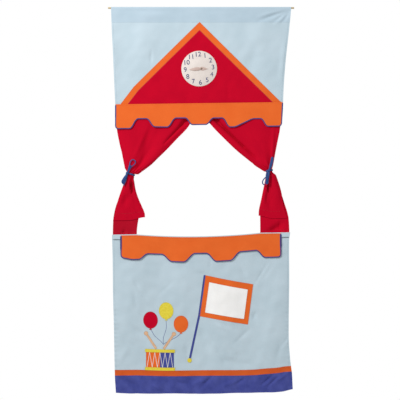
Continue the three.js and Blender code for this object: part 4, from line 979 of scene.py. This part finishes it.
def gatheredAt(side, u, v, cloth):
    inward = u if side["sign"] < 0 else 1 - u  # 0 at the outer edge
    across = 2 * inward - 1
    tieAt = (gather["top"] + side["tieDrop"]) / cloth["length"]
    away = np.where(v < 0.5, -tieAt, 1 - tieAt)
    down = tieAt + away * np.abs(2 * v - 1) ** gather["crowding"]  # rows crowd at the tie
    below = (down - tieAt) * cloth["length"]
    release = np.where(below < 0, mix(*cloth["release"], inward), cloth["release"][0])
    held = 1 - smooth(np.abs(below), gather["reach"], release)
    packed = 1 - smooth(np.abs(below), gather["reach"], gather["swell"])
    tilt = math.radians(side["tilt"])
    half = side["tieWidth"] / 2 * math.cos(tilt) - gather["clearance"]
    middle = side["corner"] - side["sign"] * side["tieInset"]
    bundled = middle + (2 * u - 1) * half * cloth["fill"]
    opened = mix(cloth["outerAt"](down), cloth["innerAt"](down), inward)
    past = smooth(below, -gather["foldChange"], gather["foldChange"])
    folds = mix(readTable(cloth["above"], inward), readTable(cloth["below"], inward), past)
    sway, swayAcross, swayDown = gather["pleatSway"]
    turns = cloth["fine"] * inward + sway * np.sin(swayAcross * inward + down * swayDown)
    fine = mix(gather["pleatFloor"], 1, 0.5 + 0.5 * np.cos(2 * np.pi * turns))
    pinch = cloth["pinch"] * np.exp(-(below / np.where(below < 0, *cloth["pinchReach"])) ** 2)
    folds = mix(folds, fine, pinch)
    plane = cloth["planeAt"](down)
    oval = np.sqrt(1 - (cloth["fill"] * across) ** 2)
    room = gather["tieDepth"] / 2 * oval - cloth["facing"] * (plane - tieCentreY()) - gather["clearance"]
    stand = mix(cloth["depthAt"](down), room - gather["spare"], packed) * folds
    lift = cloth["hemRise"] * smooth(inward, *gather["hemInward"]) * smooth(down, *gather["hemDown"])
    slope = side["sign"] * (bundled - middle) * math.tan(tilt) * packed
    x = mix(opened, bundled, held)
    sag = cloth["sag"] * smooth(below, gather["sagAbove"], -cloth["release"][1]) * (below < 0) * (1 - held)
    sag = sag * smooth(inward, gather["sagInward"], 1)
    z = gather["top"] - down * cloth["length"] + lift + slope - sag
    z = z + riseAt(x, z)
    # a strip's foot lies flat on the hem that it is sewn to
    sewn = smooth(down, 1, gather["footFrom"]) if cloth["facing"] > 0 else 1
    stand = stand - cloth["facing"] * creased(cloth["creases"], x, z) * (1 - held) * sewn
    if cloth["facing"] < 0:  # the curtain stays before the strip, and sinks where nothing hangs behind it
        near, far = (side["stripWidth"] + reach for reach in gather["pastStrip"])
        free = smooth(side["sign"] * (side["corner"] - x), near, far) * smooth(-z, *gather["sinkBelow"])
        stand = np.maximum(stand, mix(gather["curtainFront"], gather["behind"], free))
    return x, plane + cloth["facing"] * (stand + hang["cloth"] / 2), z


def curtainOf(side):
    top = hang["panelY"] - 3 * hang["layerPitch"] + hang["cloth"] / 2
    held = gather["split"] - gather["clearance"] / 2

    def edge(shares):
        return lambda down: side["corner"] - side["sign"] * gather["width"] * readTable(shares, down)

    return {
        "length": gather["length"], "outerAt": edge(side["outer"]), "innerAt": edge(side["inner"]),
        "above": side["above"], "below": side["below"], "fill": gather["curtainFill"], "facing": -1,
        "hemRise": gather["hemRise"], "fine": 6, "pinchReach": (32, 26), "pinch": 0.85, "release": (24, 9),
        "sag": side["sag"], "creases": side["creases"], "material": redCotton, "columns": 170, "hemAt": 0.945,
        "flat": (gather["width"], gather["length"]), "foot": side["cutFoot"],
        "depthAt": lambda down: gather["foldDepth"] * readTable(gather["depth"], down),
        "planeAt": lambda down: mix(top, held, smooth(down, *gather["planeMoves"])),
    }


def stripOf(side):
    length = -hang["sill"] + gather["top"] - gap
    tieAt = (gather["top"] + side["tieDrop"]) / length
    outerFoot = side["sign"] * (lowerCloth["width"] / 2 - gather["footInset"])
    width = side["sign"] * side["stripWidth"]
    top = hang["panelY"] + hang["layerPitch"] - hang["cloth"] / 2
    held = gather["split"] + gather["clearance"] / 2

    def behind(shares, inset, foot, down):
        share = readTable(shares, down * length / gather["length"])
        hidden = side["corner"] - side["sign"] * (gather["width"] * share + inset)
        return mix(hidden, foot, smooth(down, tieAt + gather["flare"], 1))

    def outerAt(down):
        return behind(side["outer"], gather["stripInset"], outerFoot, down)

    def innerAt(down):
        hidden = behind(side["inner"], -gather["stripInset"], outerFoot - width, down)
        return np.where(down < tieAt, mix(outerAt(np.zeros_like(down)), outerFoot, down) - width, hidden)

    def depthAt(down):
        full = gather["stripDepth"] * np.abs(np.sin(np.pi * down)) ** gather["stripRound"]
        return full * (1 - gather["stripFlattened"] * smooth(down, *gather["stripFlattens"]))

    def planeAt(down):
        hanging = mix(top, held, smooth(down, *gather["planeMoves"]))
        return mix(hanging, gather["footY"], smooth(down, *gather["stripSettles"]))

    return {
        "length": length, "outerAt": outerAt, "innerAt": innerAt, "above": stripFolds, "below": stripFolds,
        "fill": gather["stripFill"], "facing": 1, "hemRise": 0, "fine": 4, "pinchReach": (90, 90),
        "pinch": 0.4, "release": (70, 70), "sag": 0, "creases": side["stripCreases"],
        "material": side["stripCloth"], "columns": 70, "hemAt": 0.985, "depthAt": depthAt,
        "flat": (side["stripWidth"], gather["stripLength"]), "foot": 0, "planeAt": planeAt,
    }


def makeGathered(which):
    side = curtainSides[which]
    for part, cloth in (("curtain", curtainOf(side)), ("strip", stripOf(side))):
        name, flat = f"{which}_{part}", cloth["flat"]
        laidAt = lambda u, v: gatheredAt(side, u, v, cloth)
        mesh = gridMesh(name + "_cloth", cloth["columns"], gather["rows"], laidAt, flat)
        keep(name + "_cloth", mesh, cloth["material"], "upper_cloth", [name],
             hang["cloth"])
        along = np.linspace(*gather["stitched"], gather["stitches"])
        x, y, z = laidAt(along, np.full_like(along, cloth["hemAt"]))
        seam = stitchMesh(np.stack([x, y - gather["stitchesAhead"], z], axis=1))
        keep(name + "_hem", seam, redThread, "upper_cloth")


# Ties: a woven tape drawn tight round each bundle and knotted in a bow
tape = {
    "width": 7, "thickness": 1.1, "steps": 72, "knot": 13, "knotShape": (0.95, 0.8, 1.1), "standoff": 2,
    "ribbon": 1.5, "ribbonSteps": 56, "ribbonStart": 4, "spread": 60, "curlPitch": 14, "curl": 0.25,
    "lift": 1.1, "arch": 2.6,  # how far each strand stands off the one below
    "settles": 3, "tip": 0.4, "wander": ((0.5, 3, 0), (0.4, 5, 1)),
    "wrap": {"reach": (6.48, 5.4, 1.5), "forward": 0.4, "width": 6.5, "thickness": 1.8, "steps": 27},
}
bows = {  # strands from the knot outwards: their widths and points, sideways and up from the knot
    "left": [
        (4.6, [(0, 0), (5, 21), (10, 39), (14, 54), (24, 63), (35, 58), (37, 48), (29, 38), (16, 26),
               (3, 3)]),
        (8, [(0, 0), (6, 14), (11, 27), (15, 38)]),
        (8, [(0, 0), (-9, -14), (-19, -28), (-24, -40), (-19, -48), (-12, -42), (-7, -26), (-1, -4)]),
        (6, [(0, 0), (-6, -18), (-13, -38), (-17, -58)]),
        (8, [(0, 0), (-10, -20), (-18, -34), (-20, -48)]),
    ],
    "right": [
        (7, [(0, 0), (4, 20), (9, 42), (13, 60), (17, 57), (14, 38), (9, 18), (2, 2)]),
        (8, [(0, 0), (-6, -20), (-12, -42), (-15, -60), (-9, -61), (-5, -40), (-1, -16), (0, 0)]),
        (5.2, [(0, 0), (-8, -22), (-17, -33), (-26, -42), (-31, -53), (-29, -63), (-20, -68)]),
        (7, [(0, 0), (-8, -8), (-13, -20), (-13, -36), (-13, -54)]),
        (7, [(0, 0), (-4, -22), (-8, -44), (-12, -62)]),
    ],
}


def makeTie(which):
    side = curtainSides[which]
    middle = side["corner"] - side["sign"] * side["tieInset"]
    drop = -side["tieDrop"]
    rise = float(riseAt(np.array([middle]), np.array([drop]))[0])
    tilt = Matrix.Rotation(math.radians(-side["sign"] * side["tilt"]), 3, "Y")
    halves = (side["tieWidth"] / 2, gather["tieDepth"] / 2)
    reach = [half + tape["thickness"] / 2 for half in halves]
    path, facing = [], []
    for k in range(tape["steps"]):
        a = 2 * math.pi * k / tape["steps"]
        wander = sum(size * math.sin(waves * a + phase) for size, waves, phase in tape["wander"])
        spot = tilt @ Vector((reach[0] * math.cos(a), reach[1] * math.sin(a), wander))
        path.append((spot.x + middle, spot.y + tieCentreY(), spot.z + drop + rise))
        facing.append(tilt @ Vector((math.cos(a) / reach[0], math.sin(a) / reach[1], 0)))
    band = sweptMesh("band", path, tape["width"], tape["thickness"], facing, sides=12, closed=True)
    keep(f"{which}_tie_band", band, wovenTape, "upper_cloth", [f"{which}_tie"])

    a = math.radians(side["knotTurn"])
    reach = [half + tape["thickness"] + tape["knot"] / 4 for half in halves]
    x = middle + side["sign"] * reach[0] * math.cos(a)  # the knot lies on the outer front of the bundle
    y = tieCentreY() - reach[1] * math.sin(a)
    z = drop + abs(x - middle) * math.tan(math.radians(side["tilt"])) + rise
    ribbons = []
    for number, (wide, spots) in enumerate(bows[which]):
        spots = np.array(spots, float)
        chords = distancesAlong(spots)
        far = np.linspace(tape["ribbonStart"], chords[-1], tape["ribbonSteps"])
        aside, up = (readTable(np.stack([chords, spots[:, k]], axis=1), far) for k in (0, 1))
        out = np.hypot(aside, up) / tape["spread"]
        lift = (tape["lift"] * number + gap) * np.sin(np.minimum(out, 1) * tape["arch"])
        away = tape["standoff"] * np.minimum(1, out * tape["settles"]) + lift
        path = np.stack([x + aside, y - away, z + up], axis=1)
        twist = tape["curl"] * np.sin(far / tape["curlPitch"] + number)
        facing = np.stack([np.sin(twist), -np.cos(twist), tape["tip"] * np.sin(twist)], axis=1)
        ribbons.append(sweptMesh("ribbon", path, wide, tape["ribbon"], facing))
    bm = bmesh.new()
    bmesh.ops.create_uvsphere(bm, u_segments=24, v_segments=16, radius=tape["knot"] / 2 * mm)
    bmesh.ops.scale(bm, vec=tape["knotShape"], verts=bm.verts)
    bmesh.ops.translate(bm, vec=Vector((x, y, z)) * mm, verts=bm.verts)
    bm.loops.layers.uv.new("pattern")
    ribbons.append(toMesh("knot", bm))
    wrap = tape["wrap"]
    turns = [2 * math.pi * k / wrap["steps"] for k in range(wrap["steps"])]
    path = [(x + wrap["reach"][0] * math.cos(b), y + wrap["reach"][1] * math.sin(b) - wrap["forward"],
             z + wrap["reach"][2] * math.sin(b)) for b in turns]
    facing = [(math.cos(b), math.sin(b), 0) for b in turns]
    ribbons.append(sweptMesh("wrap", path, wrap["width"], wrap["thickness"], facing, closed=True))
    keep(f"{which}_bow_tape", joined("bow", ribbons), wovenTape, "upper_cloth", [f"{which}_bow"])


# Lower panel: its turned hem is the window's sill
sill = {
    "hem": 23, "flapY": 0, "flapLean": 0.25, "flapRows": 6, "radius": 0.8, "roll": 3, "rollTop": 0.4,
    "shadowLineWidth": 3.6, "shadowLineThick": 1.2, "flat": (830, 762), "columns": 168, "rows": 150, "rollRows": 7,
    "faceY": -0.62, "seam": (-411, 410), "rawEdge": (-413, 412), "seamRise": 3,
    "sideSeams": (-1090, -1690), "sideStitches": 80,
}
bands = {
    "orangeTop": -1692, "orangeWidth": 26, "foot": -1793, "width": 822, "columns": 168, "orangeRows": 5,
    "blueRows": 20, "orangeSeams": [0.12], "blueSeams": [0.03, 0.9], "stitches": 210,
    "stitched": (0.004, 0.996),
}


def makeLowerPanel():
    radius, rows = sill["radius"], sill["flapRows"]
    top = hang["sill"] - sill["rollTop"]
    below = top - sill["roll"]
    turns = np.linspace(0, math.pi, sill["rollRows"])
    arc = [(radius + radius * math.cos(a), top - radius + radius * math.sin(a)) for a in turns]
    heights = np.linspace(hang["sill"] - lowerCloth["length"], below, sill["rows"])
    front = [(hang["panelY"], z) for z in heights]
    flap = [(sill["flapY"] - sill["flapLean"] * k / rows, mix(below, hang["sill"] - sill["hem"], k / rows))
            for k in range(rows + 1)]
    profile = np.array([*front, *arc, *flap])
    count = len(profile) - 1

    def laidAt(u, v):
        row = np.round((1 - v) * count).astype(int)
        y, z = profile[row, 0], profile[row, 1]
        left, right = lowerEdges(z)
        x = mix(left, right, u)
        low = np.clip((bands["orangeTop"] - z) / (bands["orangeTop"] - profile[0, 1]), 0, 1)
        ahead = row < len(front)
        z = np.where(ahead, z - low * lowerCloth["dip"] * readTable(lowerCloth["foot"], u), z)
        return x, np.where(ahead, lowerSurface(x, z)[1], y), lowerHung(x, z)

    mesh = gridMesh("lower_panel_cloth", sill["columns"], count, laidAt, sill["flat"])
    keep("lower_panel_cloth", mesh, paleTaffeta, "lower_cloth", ["lower_panel"],
         hang["cloth"])
    hem = lambda x, z: (x, np.full_like(x, sill["faceY"]), lowerHung(x, z))
    rawEdge = hang["sill"] - sill["hem"]
    # painted shadow: a dark grey band along the hem's raw edge stands for the shadow line under the hem
    edge = onSurface(hem, [(x, rawEdge) for x in sill["rawEdge"]], stitchStep)
    keep("sill_hem_shadow_line", sweptMesh("edge", edge, sill["shadowLineWidth"], sill["shadowLineThick"]), hemShadowThread,
         "lower_cloth")
    seam = [(x, rawEdge + sill["seamRise"]) for x in sill["seam"]]
    seams = [stitchMesh(onSurface(hem, seam, seamStep))]
    face = lambda x, z: lowerSurface(x, z, faceOf)
    seams += sideSeams(lowerEdges, face, np.linspace(*sill["sideSeams"], sill["sideStitches"]))
    keep("lower_panel_seams", joined("lower_panel_seams", seams), paleThread, "lower_cloth")


def makeBands():
    split = bands["orangeTop"] - bands["orangeWidth"]
    for colour, top, foot, dip, cloth, slot, thread in (
        ("orange", bands["orangeTop"], split, 0, bandCotton, "orange_cloth", orangeThread),
        ("blue", split - gap, bands["foot"], lowerCloth["dip"], blueCotton, "blue_cloth", blueThread),
    ):
        def laidAt(u, v, layer=1):
            x = mix(*lowerEdges(mix(top, foot, v)), u)
            z = mix(top, foot - dip * readTable(lowerCloth["foot"], u), v)
            return lowerSurface(x, z, layer)

        name, flat = colour + "_band", (bands["width"], top - foot)
        mesh = gridMesh(name + "_cloth", bands["columns"], bands[colour + "Rows"], laidAt, flat)
        keep(name + "_cloth", mesh, cloth, "lower_cloth", [name], hang["cloth"])
        across = np.linspace(*bands["stitched"], bands["stitches"])
        seams = [stitchMesh(np.stack(laidAt(across, np.full_like(across, v), 1 + faceOf), axis=1))
                 for v in bands[colour + "Seams"]]
        keep(name + "_seams", joined("seams", seams), thread, "lower_cloth")


zigzag = {"wide": 1.9, "thick": 1, "step": 4}


# A cloth sewn on the lower panel, cut to outlines and edged in close zigzag stitches
def applique(part, outlines, layer, stuff, step=5, flat=None, node=None):
    name, (cloth, slot, thread) = part + "_cloth", stuff
    mesh = patchMesh(name, outlines, step, lambda x, z: lowerSurface(x, z, layer))
    for outline in outlines:
        points = np.array(outline)
    points = np.concatenate([np.array(outline) for outline in outlines])
    flat = flat or tuple(float(side) for side in points.max(axis=0) - points.min(axis=0))
    keep(name, mesh, cloth, "lower_cloth", [node or part], hang["cloth"])
    rim = lambda x, z: lowerSurface(x, z, layer + rimOf)
    rims = []
    for outline in outlines:
        path = onSurface(rim, [*outline, outline[0]], zigzag["step"])
        rims.append(sweptMesh("rim", path[:-1], zigzag["wide"], zigzag["thick"], sides=8, closed=True))
    keep(part + "_edge", joined("edge", rims), thread, "lower_cloth")


# Sign: a ribbon pole with a round knob, and a bare white field in an orange border
sign = {
    "top": (17, 184), "pole": 409, "poleWidth": 8, "poleCut": 10, "leans": (7.7, 12), "knob": 19,
    "width": 228, "height": 189, "side": 194, "droop": (14, 11.6), "borders": (22, 22, 22, 28),
    "field": (184, 139),
}


def makeSign():
    leans = [math.radians(lean) for lean in sign["leans"]]
    start = (sign["top"][0], hang["sill"] - sign["top"][1])

    def step(spot, lean, along, across):
        return (spot[0] - along * math.sin(lean) + across * math.cos(lean),
                spot[1] - along * math.cos(lean) - across * math.sin(lean))

    bend = step(start, leans[0], sign["height"], 0)

    def at(along, across):
        if along <= sign["height"]:
            return step(start, leans[0], along, across)
        return step(bend, leans[1], along - sign["height"], across)

    half = sign["poleWidth"] / 2
    stops = (0, sign["height"], sign["pole"])
    poles = [[at(top, -half), at(foot, -half), at(foot, half), at(top, half)]
             for top, foot in zip(stops[:-1], (stops[1], stops[2]))]
    poles[1][0], poles[1][3] = poles[0][1], poles[0][2]
    applique("sign_pole", poles, 1, blue, flat=(sign["poleCut"], sign["pole"]))
    knob = ellipse(at(sign["pole"], 0), sign["knob"], sign["knob"])
    applique("pole_knob", [knob], 2, yellow, step=3)
    topLeft, footLeft = (at(along, half + gap) for along in (gap, sign["side"]))
    topRight, footRight = [
        (x + sign["width"] * math.cos(droop), z - sign["width"] * math.sin(droop))
        for (x, z), droop in zip((topLeft, footLeft), map(math.radians, sign["droop"]))
    ]
    outline = [topLeft, footLeft, footRight, topRight]
    applique("sign_border", [outline], 1, orange, flat=(sign["width"], sign["side"]), node="sign_cloth")
    field = insetOutline(outline, sign["borders"])
    applique("sign_field", [field], 2, white, flat=sign["field"])


# Picture: a two-coloured toy drum with sticks, and three balloons on strings
drum = {
    "x": -192, "width": 128, "height": 98, "rim": 13, "over": 5,
    "laces": 5, "laceInset": 4, "lace": (2.4, 1.3),  # the lace's width and thickness
    # shares of the width: how far apart the sticks stand, their heads, and the cloth of each
    "stick": {"length": 84, "width": 9, "lean": 34, "shaft": 0.9, "apart": 2, "head": 2, "cut": 1.5},
}
balloons = {
    "size": (66, 78), "knot": 12, "string": (1.8, 1.1), "stringWander": (6, 5), "stringSteps": 30,
    "red": (-236, 398), "yellow": (-163, 352), "orange": (-94, 414), "gather": (-176, 512),
}


def makeDrum():
    foot = bands["orangeTop"] + gap
    top = foot + drum["height"]
    left, right = drum["x"] - drum["width"] / 2, drum["x"] + drum["width"] / 2
    box = lambda a, b, low, high: [(a, high), (a, low), (b, low), (b, high)]
    applique("drum_left", [box(left, drum["x"] - gap / 2, foot, top)], 1, orange)
    applique("drum_right", [box(drum["x"] + gap / 2, right, foot, top)], 1, blue)
    for part, low in (("drum_top_rim", top - drum["rim"]), ("drum_foot_rim", foot)):
        outline = box(left - drum["over"], right + drum["over"], low, low + drum["rim"])
        applique(part, [outline], 2, yellow)
    steps, inset = 2 * drum["laces"], drum["laceInset"]
    ends = (foot + drum["rim"], top - drum["rim"])
    corners = [(mix(left + inset, right - inset, k / steps), ends[k % 2]) for k in range(steps + 1)]
    path = onSurface(lambda x, z: lowerSurface(x, z, 1 + faceOf), corners, 3)
    keep("drum_lacing", sweptMesh("lacing", path, *drum["lace"], sides=8), whiteThread, "lower_cloth")
    stick = drum["stick"]
    length, width = stick["length"], stick["width"]
    half, shaftEnd = width / 2, length - width * stick["shaft"]
    for part, way in (("left_drumstick", -1), ("right_drumstick", 1)):
        a = math.radians(way * stick["lean"])

        def at(along, across):
            return (drum["x"] + way * width * stick["apart"] + along * math.sin(a) + across * math.cos(a),
                    top + gap + half + along * math.cos(a) - across * math.sin(a))

        shaft = [at(shaftEnd, -half), at(0, -half), at(0, half), at(shaftEnd, half)]
        head = ellipse(at(length, 0), width * stick["head"], width * stick["head"], steps=24)
        applique(part, [shaft, head], 1, beige, step=3, flat=(width * stick["cut"], length))


def makeBalloons():
    width, height = balloons["size"]
    gatherX, gatherDown = balloons["gather"]
    wander, turns = balloons["stringWander"]
    half = balloons["knot"] / 2
    t = np.linspace(0, 1, balloons["stringSteps"])
    for colour, stuff in (("red", red), ("yellow", yellow), ("orange", orange)):
        x, below = balloons[colour]
        z = hang["sill"] - below
        neck = z - height / 2
        knot = [(x, neck + 1), (x - half, neck - half), (x + half, neck - half)]
        applique(colour + "_balloon", [ellipse((x, z), width, height, steps=48), knot], 1, stuff)
        lineX = mix(x, gatherX, t) + wander * np.sin(math.pi * t) * np.sin(turns * t + x)
        lineZ = mix(neck - half, hang["sill"] - gatherDown, t)
        path = np.stack(lowerSurface(lineX, lineZ, faceOf), axis=1)
        keep(colour + "_balloon_string", sweptMesh("string", path, *balloons["string"], sides=8), blueThread,
             "lower_cloth")


# Light, backdrop and floor
studio = {
    "ambient": 0.54, "key": {"place": (-2.45, -3.05, 1.6), "aim": (0.9, 0, 0.5), "size": 1.05, "power": 141},
    "floor": {"height": -2.0, "radius": 1.05, "segments": 96},
}  # metres
# painted floor: matt, with barely seen clouds
paint = {"follows": "Object", "patch": 400, "dark": "#e9e8e6", "light": "#efeeec", "roughness": 0.8}


def makeStudio():
    world = bpy.data.worlds.new("studio")
    bpy.context.scene.world = world
    world.use_nodes = True
    tree = world.node_tree
    tree.nodes.clear()
    ray = addNode(tree, "ShaderNodeLightPath").outputs
    seen = ray["Is Camera Ray"]
    for other in ("Is Glossy Ray", "Is Transmission Ray"):  # so that metal shows the white too
        seen = addNode(tree, "ShaderNodeMath", {0: seen, 1: ray[other]}, operation="MAXIMUM").outputs[0]
    light, backdrop = (
        addNode(tree, "ShaderNodeBackground", {"Color": (1, 1, 1, 1), "Strength": strength}).outputs[0]
        for strength in (studio["ambient"], 1)
    )
    blend = addNode(tree, "ShaderNodeMixShader", {0: seen, 1: light, 2: backdrop})
    addNode(tree, "ShaderNodeOutputWorld", {"Surface": blend.outputs[0]})

    key = studio["key"]
    lamp = bpy.data.lights.new("key", "AREA")
    lamp.shape, lamp.size, lamp.energy = "DISK", key["size"], key["power"]
    lampObject = bpy.data.objects.new("key", lamp)
    lampObject.location = key["place"]
    aim = Vector(key["aim"]) - Vector(key["place"])
    lampObject.rotation_euler = aim.to_track_quat("-Z", "Y").to_euler()
    bpy.context.scene.collection.objects.link(lampObject)

    floor = studio["floor"]
    bm = bmesh.new()
    bmesh.ops.create_circle(bm, cap_ends=True, segments=floor["segments"], radius=floor["radius"],
                            matrix=Matrix.Translation((0, 0, floor["height"])))
    mesh = bpy.data.meshes.new("floor")
    bm.to_mesh(mesh)
    bm.free()
    mesh.materials.append(unwovenSurface("paintedFloor", paint))
    floorObject = bpy.data.objects.new("floor", mesh)
    bpy.context.scene.collection.objects.link(floorObject)


makeStudio()
makeRod()
makeUpperPanel()
makeRoof()
makeClock()
print("upper cloth dressed")
makeValance("upper", "upper_valance", "upper_cloth",
            lambda x, z: (x, np.full_like(x, hang["panelY"] - 5 * hang["layerPitch"]), z + riseAt(x, z)))
for which in ("left", "right"):
    makeGathered(which)
    makeTie(which)
print("curtains hung and tied")
makeLowerPanel()
makeValance("lower", "lower_valance", "lower_cloth", lambda x, z: lowerSurface(x, z, 3))
makeBands()
makeSign()
makeDrum()
makeBalloons()
print("lower cloth dressed")

view = bpy.context.scene.view_settings
view.view_transform = "Standard"
